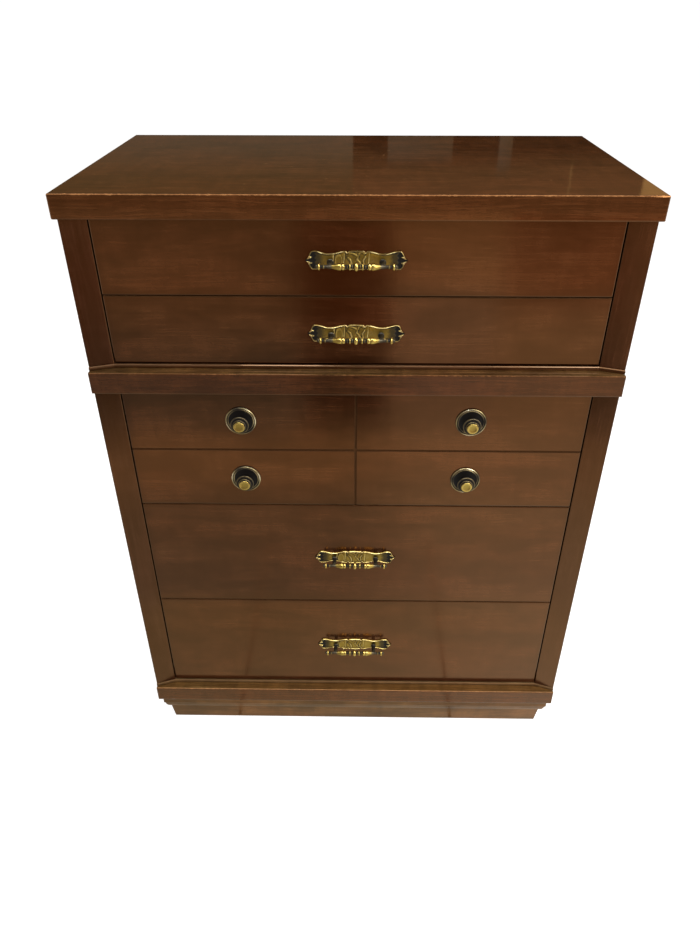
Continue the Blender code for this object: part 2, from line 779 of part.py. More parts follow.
def bar_profile():
    """Profile of the turned bar as (radius, height), end to end."""
    half = [
        (0, BEAD_RADIUS),
        (BEAD_SHOULDER_AT, BEAD_SHOULDER_RADIUS),
        (BEAD_WIDTH / 2, BAR_CORE_RADIUS),
    ]
    half += ring(RING_AT, RING_WIDTH, RING_RADIUS, BAR_CORE_RADIUS)
    half.append((VASE_START, BAR_CORE_RADIUS))
    for along, swell in VASE_SWELL:
        half.append((VASE_START + (VASE_END - VASE_START) * along, VASE_RADIUS * swell))
    half.append((VASE_END, BAR_SHAFT_RADIUS))
    half += ring(SMALL_RING_AT, RING_WIDTH, SMALL_RING_RADIUS, BAR_SHAFT_RADIUS)
    half += ring(COLLAR_AT, COLLAR_WIDTH, COLLAR_RADIUS, BAR_SHAFT_RADIUS)
    half += [(BAR_LENGTH / 2 - BAR_SHAFT_RADIUS / 2, BAR_SHAFT_RADIUS), (BAR_LENGTH / 2, 0)]
    upper = [(radius, at) for at, radius in reversed(half)]
    lower = [(radius, -at) for at, radius in half[1:]]
    return upper + lower


def make_pull(drawer, name, height):
    """A backplate and a turned bar on two posts."""
    plate_name = f"{name}_pull_plate"
    plate_mesh = outline_mesh(plate_name, [plate_outline()], PLATE_THICKNESS, smooth=True)
    plate_y = DRAWER_SETBACK - SEAT_GAP - PLATE_THICKNESS / 2
    place(plate_name, plate_mesh, drawer, (0, plate_y, height), (math.pi / 2, 0, 0), "dark_brass")
    bar_y = DRAWER_SETBACK - BAR_STANDOFF
    bar_z = height - BAR_DROP
    bar = turned(f"{name}_pull_bar", bar_profile(), BAR_SIDES, drawer, (0, bar_y, bar_z),
                 (0, math.pi / 2, 0), "antique_brass")
    seat = plate_y - PLATE_THICKNESS / 2 - SEAT_GAP
    for side, word in SIDES:
        mesh = bpy.data.meshes.new(f"{name}_post_{word}")
        body = bmesh.new()
        bmesh.ops.create_cone(body, cap_ends=True, segments=POST_SIDES, radius1=POST_RADIUS,
                              radius2=POST_RADIUS, depth=seat - bar_y)
        body.to_mesh(mesh)
        body.free()
        post = place(f"{name}_post_{word}", mesh, drawer,
                     (side * POST_SPACING / 2, (seat + bar_y) / 2, bar_z), (math.pi / 2, 0, 0))
        combine(bar, post, "UNION")


def knob_profile():
    """Profile of a stepped knob and its stem, from the face back to the drawer."""
    level = KNOB_REACH
    points = [(0, level)]
    for radius in (KNOB_FACE_RADIUS, KNOB_MIDDLE_RADIUS, KNOB_OUTER_RADIUS):
        points += [(radius - KNOB_CHAMFER, level), (radius, level - KNOB_CHAMFER)]
        level -= KNOB_STEP
        points.append((radius, level))
    points += [
        (KNOB_NECK_RADIUS, level - KNOB_UNDERCUT),
        (KNOB_NECK_RADIUS, KNOB_FOOT),
        (KNOB_STEM_RADIUS, KNOB_FOOT),
        (KNOB_STEM_RADIUS, SEAT_GAP),
        (0, SEAT_GAP),
    ]
    return points


def knob_plate_profile():
    """Closed profile of a knob's dished backplate, round the hole for the stem."""
    rim_inner = KNOB_PLATE_RADIUS - KNOB_PLATE_RIM_WIDTH
    hole = KNOB_STEM_RADIUS + SEAT_GAP
    return [
        (hole, KNOB_PLATE_FLOOR),
        (KNOB_PLATE_STEP_RADIUS - KNOB_PLATE_SLOPE, KNOB_PLATE_FLOOR),
        (KNOB_PLATE_STEP_RADIUS, KNOB_PLATE_STEP),
        (rim_inner - KNOB_PLATE_SLOPE, KNOB_PLATE_FLOOR),
        (rim_inner, KNOB_PLATE_RIM_SHOULDER),
        (rim_inner + KNOB_PLATE_RIM_WIDTH / 2, KNOB_PLATE_RIM),
        (KNOB_PLATE_RADIUS, KNOB_PLATE_RIM_EDGE),
        (KNOB_PLATE_RADIUS, SEAT_GAP),
        (hole, SEAT_GAP),
    ]


def make_knob(drawer, name, spot):
    """A stepped knob with its stem through a round backplate."""
    facing = (math.pi / 2, 0, 0)
    turned(f"{name}_plate", knob_plate_profile(), KNOB_PLATE_SIDES, drawer, spot, facing,
           "dark_brass", closed=True)
    turned(name, knob_profile(), KNOB_SIDES, drawer, spot, facing, "antique_brass")


def make_drawers(case):
    """Five drawers, each under an empty at the middle of its show face."""
    for name, bottom, height, _ in DRAWERS:
        top = bottom + height
        middle = (bottom + top) / 2
        carrier = make_empty(name, case, (0, DRAWER_SETBACK, middle))
        front = make_box(carrier, name, shelf_top(bottom), bottom, top)
        if name != KNOB_DRAWER:
            make_pull(carrier, name, middle - PULL_DROP)
            continue
        score_front(front, name, bottom, top)
        for row, up in (("lower", -1), ("upper", 1)):
            for side, word in SIDES:
                level = middle + up * height / 4 - KNOB_DROP
                spot = (side * FRONT_HALF / 2, DRAWER_SETBACK, level)
                make_knob(carrier, f"knob_{row}_{word}", spot)


def smooth_round_pieces():
    """Shade the turned pieces smooth between their sharp edges."""
    for obj in PARTS.objects:
        if obj.type == "MESH" and ("knob" in obj.name or "pull" in obj.name):
            obj.data.shade_smooth()


def main():
    """Build the chest."""
    case = make_empty("case_origin", None, (0, -CENTRE_Y, 0))
    make_case(case)
    make_drawers(case)
    smooth_round_pieces()
    bpy.context.view_layer.update()


main()
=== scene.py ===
"""The looks of the tallboy: lacquered walnut, worn edges and antique brass pulls.

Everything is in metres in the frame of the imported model: the chest stands on
the floor at z = 0, faces -Y and is centred on the origin.
"""

import json
import math

import bmesh
import bpy
from mathutils import Matrix, Vector


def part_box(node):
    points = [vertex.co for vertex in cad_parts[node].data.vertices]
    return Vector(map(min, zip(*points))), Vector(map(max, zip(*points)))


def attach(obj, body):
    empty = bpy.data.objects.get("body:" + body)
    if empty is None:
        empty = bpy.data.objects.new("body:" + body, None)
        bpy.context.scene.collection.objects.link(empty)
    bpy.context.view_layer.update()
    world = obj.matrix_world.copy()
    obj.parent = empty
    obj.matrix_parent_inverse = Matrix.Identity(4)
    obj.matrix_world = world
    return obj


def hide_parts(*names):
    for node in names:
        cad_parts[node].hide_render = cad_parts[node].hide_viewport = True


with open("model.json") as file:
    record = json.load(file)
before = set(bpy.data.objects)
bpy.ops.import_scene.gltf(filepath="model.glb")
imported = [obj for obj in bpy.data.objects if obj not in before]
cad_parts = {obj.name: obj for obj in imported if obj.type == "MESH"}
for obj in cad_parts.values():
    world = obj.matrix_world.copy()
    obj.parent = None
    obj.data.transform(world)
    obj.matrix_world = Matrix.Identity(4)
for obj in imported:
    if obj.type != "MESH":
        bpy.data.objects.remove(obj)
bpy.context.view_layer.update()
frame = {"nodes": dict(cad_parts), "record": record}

DRAWERS = ("top_drawer", "second_drawer", "third_drawer", "fourth_drawer", "bottom_drawer")
KNOB_DRAWER = "third_drawer"
PULL_DRAWERS = [name for name in DRAWERS if name != KNOB_DRAWER]
KNOBS = ("knob_upper_left", "knob_upper_right", "knob_lower_left", "knob_lower_right")
MM = 0.001

# Camera, solved from the photograph. Its lens and sensor are in millimetres.
CAMERA_PLACE = (0.00527, -1.28572, 1.38913)
CAMERA_TURN = (math.radians(56.828), 0.0, math.radians(0.798))
CAMERA_LENS = 28.267
CAMERA_SENSOR = 36.0
CAMERA_REACH = 1000.0

# Refractive index and tint of the lacquer: amber with age, thinner on rails and skirt, worn on the sides
AMBER_GLOSS = (1.95, (1.0, 0.44, 0.15))
HONEY_GLOSS = (1.75, (1.0, 0.52, 0.24))
SATIN_GLOSS = (1.28, (1.0, 0.6, 0.35))
# Wood, by a node's name or else by its material slot. Colours are linear: dark figure, body and light
# streaks. The shares say how strong the figure, the fine grain and the cloudy mottling are.
WOODS = {
    "front_veneer": {
        "colours": ((0.017, 0.0054, 0.0024), (0.037, 0.0121, 0.0046), (0.056, 0.0206, 0.0078)),
        "roughness": 0.14, "figure": 0.74, "grain": 0.42, "clouds": 1.0, "gloss": AMBER_GLOSS,
    },
    "top_veneer": {
        "colours": ((0.028, 0.008, 0.003), (0.046, 0.0145, 0.0048), (0.072, 0.026, 0.0092)),
        "roughness": 0.07, "figure": 0.4, "grain": 0.72, "clouds": 0.5, "gloss": AMBER_GLOSS,
    },
    "stile_wood": {
        "colours": ((0.011, 0.0046, 0.0027), (0.021, 0.009, 0.0052), (0.037, 0.017, 0.0098)),
        "roughness": 0.2, "figure": 0.5, "grain": 0.6, "clouds": 0.8, "gloss": AMBER_GLOSS,
    },
    # The upper right stile: a brighter copy of the stile wood, painted light for the light falling on the
    # right
    "stile_upper_right": {
        "colours": ((0.018, 0.0068, 0.0034), (0.036, 0.0138, 0.0068), (0.056, 0.0235, 0.0115)),
        "roughness": 0.2, "figure": 0.5, "grain": 0.6, "clouds": 0.8, "gloss": AMBER_GLOSS,
    },
    "rail_wood": {
        "colours": ((0.026, 0.007, 0.0025), (0.046, 0.0124, 0.0038), (0.074, 0.0245, 0.008)),
        "roughness": 0.2, "figure": 0.45, "grain": 0.6, "clouds": 0.8, "gloss": HONEY_GLOSS,
    },
    "base_rail": {
        "colours": ((0.036, 0.0108, 0.0032), (0.065, 0.0182, 0.005), (0.098, 0.033, 0.01)),
        "roughness": 0.2, "figure": 0.2, "grain": 0.6, "clouds": 0.3, "gloss": HONEY_GLOSS,
    },
    # The skirt is brighter than the other woods; part of that is painted light, for the floor's light on
    # it
    "skirt_wood": {
        "colours": ((0.08, 0.032, 0.009), (0.126, 0.054, 0.0155), (0.17, 0.082, 0.0255)),
        "roughness": 0.4, "figure": 0.35, "grain": 0.5, "clouds": 0.8, "gloss": HONEY_GLOSS,
    },
    "side_veneer": {
        "colours": ((0.066, 0.024, 0.008), (0.122, 0.047, 0.016), (0.162, 0.072, 0.025)),
        "roughness": 0.42, "figure": 0.5, "grain": 0.5, "clouds": 0.5, "gloss": SATIN_GLOSS,
    },
    "drawer_wood": {
        "colours": ((0.33, 0.19, 0.09), (0.47, 0.3, 0.155), (0.58, 0.41, 0.235)),
        "roughness": 0.55, "figure": 0.4, "grain": 0.5, "clouds": 0.2, "gloss": None,
    },
    "case_wood": {
        "colours": ((0.23, 0.13, 0.062), (0.35, 0.215, 0.115), (0.46, 0.31, 0.18)),
        "roughness": 0.65, "figure": 0.45, "grain": 0.6, "clouds": 0.2, "gloss": None,
    },
    "back_board": {
        "colours": ((0.215, 0.108, 0.046), (0.305, 0.172, 0.08), (0.38, 0.235, 0.12)),
        "roughness": 0.7, "figure": 0.5, "grain": 0.4, "clouds": 0.2, "gloss": None,
    },
}
# Patterns of the wood, as noise: scale along the grain and across it, detail, roughness and distortion
PATTERNS = {
    "figure": (2.2, 15.0, 4.0, 0.55, 0.6),
    "mottle": (7.0, 20.0, 5.0, 0.6, 0.3),
    "curl": (42.0, 12.0, 3.0, 0.6, 0.5),
    "streaks": (9.0, 330.0, 4.0, 0.6),
    "pores": (60.0, 1300.0),
}
BEND_SCALES = (2.4, 6.0)
WARMTH_SCALES = (3.0, 7.0)
# The values of a pattern between which its effect grows
FIGURE_RANGE = (0.34, 0.64)
LIGHT_RANGE = (0.5, 0.76)
MOTTLE_RANGE = (0.35, 0.62)
WARMTH_RANGE = (0.36, 0.64)
CURL_RANGE = (0.34, 0.66)
STREAK_RANGE = (0.3, 0.62)
PORE_RANGE = (0.3, 0.44)
# The tints of a pattern at full strength, in its dark places and its light ones
MOTTLE_TINTS = ((0.44, 0.44, 0.44), (1.3, 1.3, 1.3))
MOTTLE_COOLNESS = (1.0, 1.04, 1.1)
WARMTH_TINTS = ((0.94, 1.06, 1.08), (1.05, 0.96, 0.92))
CURL_TINTS = ((0.84, 0.83, 0.82), (1.13, 1.13, 1.13))
STREAK_TINTS = ((0.55, 0.55, 0.55), (1.12, 1.13, 1.14))
PORE_TINTS = ((0.2, 0.2, 0.2), (1.04, 1.04, 1.04))
# Where the mottling is dark and light, and the shares of a wood's roughness there
SHEEN_RANGE = (0.25, 0.75)
SHEEN_SHARES = (1.15, 0.88)
# How far each board's stretch of grain lies from the last one's, and how far its lines wander
SEED_STEP = (1.73, 0.61, 0.37)
GRAIN_BEND = 0.03
# Shares of the streaks, pores and curl in the relief, and its strength and depth
STREAK_RELIEF = 0.5
PORE_RELIEF = 0.3
CURL_RELIEF = 3.0
WOOD_RELIEF = (0.25, 0.0001)

# Joints and scored lines, whose dark colour is a painted shade, a drawer front's bare inner face, and wood
# with its lacquer rubbed off
GAP_SHADE_COLOUR = (0.01, 0.0058, 0.004)
INNER_COLOUR = (0.3, 0.17, 0.08)
# This colour of rubbed wood also paints the highlight along the top's upper edge
WORN_AND_HIGHLIGHT_COLOUR = (0.33, 0.15, 0.055)
JOINT_ROUGHNESS = 0.85
# How far behind a front's face the painted shade of its joints sets in, and how near its back it is bare
GAP_SHADE_DEPTHS = (0.0005, 0.001)
INNER_DEPTHS = (0.008, 0.007)
# Darkening towards the edges of a drawer front
EDGE_DARKENING_REACH = 0.016
EDGE_DARKENING_NOISE = (9.0, 9.0, 4.0, 0.6)
EDGE_DARKENING_RANGE = (0.4, 1.45)
EDGE_DARKENING_TINT = (0.58, 0.6, 0.66)
# Rubbed edges: stretches of more and less rubbing, and chips that make the line ragged
RUBBING = (14.0, 14.0, 3.0)
RUBBING_RANGE = (0.3, 0.6)
CHIPS = (160.0, 160.0, 3.0, 0.7)
CHIPS_RANGE = (0.4, 0.8)
WORN_WIDTHS = (0.0013, 0.0024)
WORN_SOFTNESS = 0.0004
# On the top the line is strong and almost unbroken: wear, and a painted highlight
TOP_WEAR_AND_HIGHLIGHT = (0.68, 0.94)
RAIL_WEAR = (0.0, 0.4)
# Pale specks on the top
SPECKS = (110.0, 190.0, 1.0)
SPECK_RANGE = (0.765, 0.8)
SPECK_STRENGTH = 0.7
# How squarely a face looks along an axis where each begins and where it is full: specks of wear, painted
# light on ledges, painted shade on stiles
TOP_FACING = (0.8, 0.9)
LEDGE_FACING = (0.4, 0.7)
STILE_FACING = (0.75, 0.95)
BACK_FACING = 0.5
# A rail's ledge, and the rounded lip behind it, whose own look starts a little above the ledge
# The ledge's light tint is painted light from above
LEDGE_LIGHT_TINT = (1.8, 3.0, 3.0)
LEDGE_BAND = (0.001, 0.0004)
LIP_HEIGHT = 0.007
LIP_STARTS = (0.001, 0.0016)
# The middle rail's lip is painted darker as painted shade, the base rail's lighter as a painted highlight
LIP_SHADE_AND_HIGHLIGHT_TINTS = {"mid_rail": (0.5, 0.56, 0.62), "base_rail": (1.3, 2.5, 3.4)}
LIP_ROUGHNESS = 0.55
# Where the middle rail's lip still shines: middle and reach of each stretch along X, and how it ends
LIP_SHEEN = ((-0.105, 0.085), (0.34, 0.13))
LIP_SHEEN_ENDS = (0.6, 1.2)

NO_TINT = (1.0, 1.0, 1.0)
FULL_FADE = (0.0, 1.0)


def feed(tree, node, inputs):
    """Give a shader node its inputs. Each is a value, or a socket to link from."""
    for key, value in inputs.items():
        if isinstance(value, bpy.types.NodeSocket):
            tree.links.new(value, node.inputs[key])
        else:
            node.inputs[key].default_value = value


def add(tree, kind, inputs=None, **settings):
    """Add a shader node with its settings and inputs."""
    made = tree.nodes.new(kind)
    for key, value in settings.items():
        setattr(made, key, value)
    feed(tree, made, inputs or {})
    return made


def calc(tree, operation, *values):
    """The result of a maths node."""
    return add(tree, "ShaderNodeMath", dict(enumerate(values)), operation=operation).outputs[0]


def apart(tree, first, second):
    """How far apart two values are."""
    return calc(tree, "ABSOLUTE", calc(tree, "SUBTRACT", first, second))


def remap(tree, value, low, high, new_low=0.0, new_high=1.0):
    """A value moved smoothly from one range to another, and held there."""
    inputs = {"Value": value, "From Min": low, "From Max": high, "To Min": new_low, "To Max": new_high}
    node = add(tree, "ShaderNodeMapRange", inputs, interpolation_type="SMOOTHSTEP")
    return node.outputs["Result"]


def blend(tree, share, first, second, mode="MIX"):
    """Two colours mixed."""
    first, second = (colour if isinstance(colour, bpy.types.NodeSocket) else (*colour, 1.0)
                     for colour in (first, second))
    node = add(tree, "ShaderNodeMix", {0: share, 6: first, 7: second},
               data_type="RGBA", blend_type=mode, clamp_factor=True)
    return node.outputs[2]


def multiplied(tree, colour, tint, share):
    """A colour with a share of it multiplied by a tint."""
    return blend(tree, share, colour, blend(tree, 1.0, colour, tint, "MULTIPLY"))


def tinted(tree, colour, pattern, ends, dark, light):
    """A colour multiplied by one of two tints, as a pattern goes from one end to the other."""
    tint = blend(tree, remap(tree, pattern, *ends), dark, light)
    return blend(tree, 1.0, colour, tint, "MULTIPLY")


def stretch(tree, vector, scale, offset=(0, 0, 0)):
    """A vector scaled by axis and moved."""
    node = add(tree, "ShaderNodeVectorMath", {0: vector, 1: scale, 2: offset}, operation="MULTIPLY_ADD")
    return node.outputs[0]


def noise(tree, vector, along, across, detail=2.0, roughness=0.5, distortion=0.0):
    """A noise pattern, scaled along X and across it."""
    place = stretch(tree, vector, (along, across, across))
    inputs = {"Vector": place, "Scale": 1.0, "Detail": detail, "Roughness": roughness,
              "Distortion": distortion}
    return add(tree, "ShaderNodeTexNoise", inputs).outputs["Fac"]


def coordinates(tree, kind="Object"):
    """A point's Object or Generated coordinates, or its Normal."""
    return add(tree, "ShaderNodeTexCoord").outputs[kind]


def axes(tree, kind="Object"):
    """X, Y and Z of a point's coordinates or normal."""
    return add(tree, "ShaderNodeSeparateXYZ", {0: coordinates(tree, kind)}).outputs


def new_material(name):
    """A material with its node tree and its Principled shader."""
    material = bpy.data.materials.new(name)
    material.use_nodes = True
    tree = material.node_tree
    return material, tree, tree.nodes["Principled BSDF"]


def bumped(tree, height, strength, depth):
    """The normal of a surface that rises and falls by a small depth."""
    bump = add(tree, "ShaderNodeBump", {"Height": height, "Strength": strength, "Distance": depth})
    return bump.outputs[0]


def along_grain(tree, grain):
    """The piece's own coordinates, turned so that the grain runs along X."""
    if grain == "X":
        return coordinates(tree)
    parts = axes(tree)
    order = {"Y": ("Y", "Z", "X"), "Z": ("Z", "X", "Y")}[grain]
    made = add(tree, "ShaderNodeCombineXYZ")
    for socket, axis in zip(made.inputs, order):
        tree.links.new(parts[axis], socket)
    return made.outputs[0]


def wandering(tree, seeded):
    """Coordinates whose grain lines wander a little."""
    bend = noise(tree, seeded, *BEND_SCALES)
    bent = calc(tree, "MULTIPLY", calc(tree, "SUBTRACT", bend, 0.5), GRAIN_BEND)
    shift = add(tree, "ShaderNodeCombineXYZ", {"Y": bent, "Z": bent}).outputs[0]
    return add(tree, "ShaderNodeVectorMath", {0: seeded, 1: shift}, operation="ADD").outputs[0]


def top_edge_distance(tree, box):
    """Distance from the nearest edge of the upper face of a box, for a point on its surface."""
    low, high = box
    half = (high - low) / 2
    centre = low + half
    x, y, z = axes(tree)
    beside = calc(tree, "SUBTRACT", half.x, apart(tree, x, centre.x))
    before = calc(tree, "SUBTRACT", half.y, apart(tree, y, centre.y))
    below = calc(tree, "SUBTRACT", high.z, z)
    return calc(tree, "MAXIMUM", calc(tree, "MINIMUM", beside, before), below)


def wear_and_highlight_line(tree, seeded, distance, colour, least, most):
    """Colour rubbed off where a distance is small, in patches between two strengths. On the top the line
    is also a painted highlight.
    """
    rubbing = noise(tree, seeded, *RUBBING)
    chips = noise(tree, seeded, *CHIPS)
    width = remap(tree, chips, *CHIPS_RANGE, *WORN_WIDTHS)
    near = remap(tree, calc(tree, "SUBTRACT", width, distance), 0.0, WORN_SOFTNESS)
    strength = remap(tree, rubbing, *RUBBING_RANGE, least, most)
    return blend(tree, calc(tree, "MULTIPLY", near, strength), colour, WORN_AND_HIGHLIGHT_COLOUR)


def top_wear_and_highlight(tree, seeded, box, colour):
    """The top's few pale specks, and the pale line round its upper edge: rubbed wear, and a painted
    highlight of the edge.
    """
    specks = remap(tree, noise(tree, seeded, *SPECKS), *SPECK_RANGE)
    upward = remap(tree, axes(tree, "Normal")["Z"], *TOP_FACING, 0.0, SPECK_STRENGTH)
    colour = blend(tree, calc(tree, "MULTIPLY", specks, upward), colour, WORN_AND_HIGHLIGHT_COLOUR)
    return wear_and_highlight_line(tree, seeded, top_edge_distance(tree, box), colour, *TOP_WEAR_AND_HIGHLIGHT)


def worn_rail(tree, name, seeded, box, colour):
    """A rail's ledge, lighter where it faces up as painted light, its lip, painted darker on the middle
    rail as painted shade and lighter on the base rail as a painted highlight, and the rubbed edge before
    them.
    """
    low, high = box
    ledge = high.z - LIP_HEIGHT
    y, z = axes(tree)[1:]
    level = remap(tree, apart(tree, z, ledge), *LEDGE_BAND)
    upward = remap(tree, axes(tree, "Normal")["Z"], *LEDGE_FACING)
    # Painted light on the ledge where it faces up
    colour = multiplied(tree, colour, LEDGE_LIGHT_TINT, calc(tree, "MULTIPLY", level, upward))
    lip = remap(tree, z, *(ledge + start for start in LIP_STARTS))
    # Painted shade on the middle rail's lip, a painted highlight on the base rail's
    colour = multiplied(tree, colour, LIP_SHADE_AND_HIGHLIGHT_TINTS[name], lip)
    behind = calc(tree, "SUBTRACT", y, low.y)
    edge_distance = calc(tree, "ADD", behind, apart(tree, ledge, z))
    return wear_and_highlight_line(tree, seeded, edge_distance, colour, *RAIL_WEAR)


def dulled_lip(tree, name, box, roughness):
    """The roughness of a rail, whose lip is dull but for a few stretches of the middle one."""
    ledge = box[1].z - LIP_HEIGHT
    parts = axes(tree)
    starts = (ledge + start for start in LIP_STARTS)
    dull = remap(tree, parts["Z"], *starts, 0.0, LIP_ROUGHNESS)
    for middle, reach in LIP_SHEEN if name == "mid_rail" else ():
        ends = (share * reach for share in LIP_SHEEN_ENDS)
        away = remap(tree, apart(tree, parts["X"], middle), *ends)
        dull = calc(tree, "MULTIPLY", dull, away)
    return calc(tree, "MAXIMUM", roughness, dull)


def shaded_side(tree, box, colour):
    """A stile's inner side, beside the drawers, painted near black: painted shade in the gap."""
    inward = -1.0 if box[0].x > 0 else 1.0
    facing = calc(tree, "MULTIPLY", axes(tree, "Normal")["X"], inward)
    # Painted shade: the side facing the drawers turns near black
    return blend(tree, remap(tree, facing, *STILE_FACING), colour, GAP_SHADE_COLOUR)


def recess_share(tree, box):
    """1 behind a drawer front's face: on its edges and in its scored lines."""
    depths = (box[0].y + depth for depth in GAP_SHADE_DEPTHS)
    return remap(tree, axes(tree)["Y"], *depths)


def shaded_joints(tree, box, colour):
    """A drawer front, darker towards its edges, with painted shade on its set-back edges and in its scored
    lines, and its bare inner face.
    """
    low, high = box
    middle = (low + high) / 2
    x, y, z = axes(tree)
    beside = calc(tree, "SUBTRACT", high.x - middle.x, calc(tree, "ABSOLUTE", x))
    above = calc(tree, "SUBTRACT", high.z - middle.z, apart(tree, z, middle.z))
    inset = calc(tree, "DIVIDE", calc(tree, "MINIMUM", beside, above), EDGE_DARKENING_REACH)
    smoke = noise(tree, coordinates(tree), *EDGE_DARKENING_NOISE)
    edge_darkening = calc(tree, "ADD", inset, smoke)
    colour = tinted(tree, colour, edge_darkening, EDGE_DARKENING_RANGE, EDGE_DARKENING_TINT, NO_TINT)
    # Painted shade: faces set back from the front's face turn near black
    colour = blend(tree, recess_share(tree, box), colour, GAP_SHADE_COLOUR)
    deep = remap(tree, y, *(high.y - depth for depth in INNER_DEPTHS))
    backward = calc(tree, "GREATER_THAN", axes(tree, "Normal")["Y"], BACK_FACING)
    return blend(tree, calc(tree, "MULTIPLY", deep, backward), colour, INNER_COLOUR)


def scaled(tint, share):
    """A tint at a share of its strength."""
    return tuple(1.0 + share * (value - 1.0) for value in tint)


def wood_colour(tree, look, seeded, patterns):
    """The colour of plain wood, before its wear."""
    clouds, grain = look["clouds"], look["grain"]
    figured, body, streaked = look["colours"]
    bands = remap(tree, patterns["figure"], *FIGURE_RANGE, 1.0 - look["figure"], 1.0)
    colour = blend(tree, bands, figured, body)
    lights = remap(tree, patterns["streaks"], *LIGHT_RANGE, 0.0, grain)
    colour = blend(tree, lights, colour, streaked)
    dark, light = (scaled(tint, clouds) for tint in MOTTLE_TINTS)
    dark = tuple(value * cool for value, cool in zip(dark, MOTTLE_COOLNESS))
    colour = tinted(tree, colour, patterns["mottle"], MOTTLE_RANGE, dark, light)
    cool, warm = (scaled(tint, clouds) for tint in WARMTH_TINTS)
    warmth = noise(tree, seeded, *WARMTH_SCALES)
    colour = tinted(tree, colour, warmth, WARMTH_RANGE, cool, warm)
    colour = tinted(tree, colour, patterns["curl"], CURL_RANGE, *CURL_TINTS)
    dark, light = STREAK_TINTS
    colour = tinted(tree, colour, patterns["streaks"], STREAK_RANGE, scaled(dark, grain), light)
    dark, light = PORE_TINTS
    return tinted(tree, colour, patterns["pores"], PORE_RANGE, scaled(dark, grain), light)


def relief(tree, patterns):
    """The normal of a surface on which streaks, pores and curl can be felt."""
    streaks = calc(tree, "MULTIPLY", patterns["streaks"], STREAK_RELIEF)
    pores = calc(tree, "MULTIPLY", patterns["pores"], PORE_RELIEF)
    fine = calc(tree, "ADD", streaks, pores)
    height = calc(tree, "MULTIPLY_ADD", patterns["curl"], CURL_RELIEF, fine)
    return bumped(tree, height, *WOOD_RELIEF)


def wood(name, slot, grain, seed, box):
    """Lacquered or bare wood with figure, mottling, curl, fine grain and pores."""
    look = WOODS.get(name, WOODS[slot])
    material, tree, shader = new_material(name)
    offset = tuple(seed * step for step in SEED_STEP)
    seeded = stretch(tree, along_grain(tree, grain), (1, 1, 1), offset)
    waved = wandering(tree, seeded)
    patterns = {key: noise(tree, waved, *values) for key, values in PATTERNS.items()}
    colour = wood_colour(tree, look, seeded, patterns)
    sheen = (look["roughness"] * share for share in SHEEN_SHARES)
    roughness = remap(tree, patterns["mottle"], *SHEEN_RANGE, *sheen)
    if slot == "top_veneer":
        colour = top_wear_and_highlight(tree, seeded, box, colour)
    elif slot == "rail_wood":
        colour = worn_rail(tree, name, seeded, box, colour)
        roughness = dulled_lip(tree, name, box, roughness)
    elif slot == "stile_wood":
        colour = shaded_side(tree, box, colour)
    elif slot == "front_veneer":
        colour = shaded_joints(tree, box, colour)
        dulled = calc(tree, "MULTIPLY", recess_share(tree, box), JOINT_ROUGHNESS)
        roughness = calc(tree, "MAXIMUM", roughness, dulled)
    normal = relief(tree, patterns)
    feed(tree, shader, {"Base Color": colour, "Roughness": roughness, "Normal": normal})
    if look["gloss"]:
        index, tint = look["gloss"]
        feed(tree, shader, {"IOR": index, "Specular Tint": (*tint, 1.0)})
    return material


def dress_wood():
    """Wood on every board, each with its own stretch of grain."""
    slots = {row["node"]: row["material_slot"] for row in frame["record"]["subparts"]}
    upright = ("stile", "side_panel", "back_panel")
    sideways = ("side_left", "side_right")
    for seed, (node, slot) in enumerate(sorted(slots.items())):
        if slot not in WOODS:
            continue
        grain = "X"
        if node.startswith(upright):
            grain = "Z"
        elif node.endswith(sideways) or node in ("skirt_left", "skirt_right"):
            grain = "Y"
        mesh = frame["nodes"][node].data
        mesh.materials.clear()
        mesh.materials.append(wood(node, slot, grain, seed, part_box(node)))


# Brass: black dirt and painted shade, brown patina, gold, and worn bright metal and painted glints
PLATE_TINTS = ((0.009, 0.007, 0.005), (0.095, 0.07, 0.03), (0.345, 0.228, 0.044), (0.7, 0.535, 0.225))
RIM_TINTS = ((0.008, 0.006, 0.005), (0.12, 0.096, 0.062), (0.37, 0.285, 0.13), (0.76, 0.65, 0.42))
TURNED_TINTS = ((0.01, 0.008, 0.006), (0.13, 0.103, 0.062), (0.38, 0.262, 0.056), (0.64, 0.455, 0.12))
# The tones over which each tint takes over from the one before it
TINT_RANGES = ((0.04, 0.34), (0.3, 0.62), (0.66, 1.05))
# Fine grime and larger rubbed patches: strength, then the noise's scales, detail and roughness
TONE_PATTERNS = ((0.3, 420.0, 420.0, 4.0, 0.65), (0.24, 70.0, 70.0))
# The tones over which brass gets smoother and turns from black dirt and painted shade to metal
SMOOTH_RANGE = (0.2, 1.0)
METAL_RANGE = (0.05, 0.3)
DIRT_ROUGHNESS = 0.48
DIRT_GLOSS = 0.15
PLATE_ROUGHNESS = 0.3
TURNED_ROUGHNESS = 0.24
RIM_ROUGHNESS = 0.22
# Pits left by casting, and the strength and depth of their relief
PITS = (1500.0, 1500.0)
PIT_RELIEF = (0.35, 0.00006)


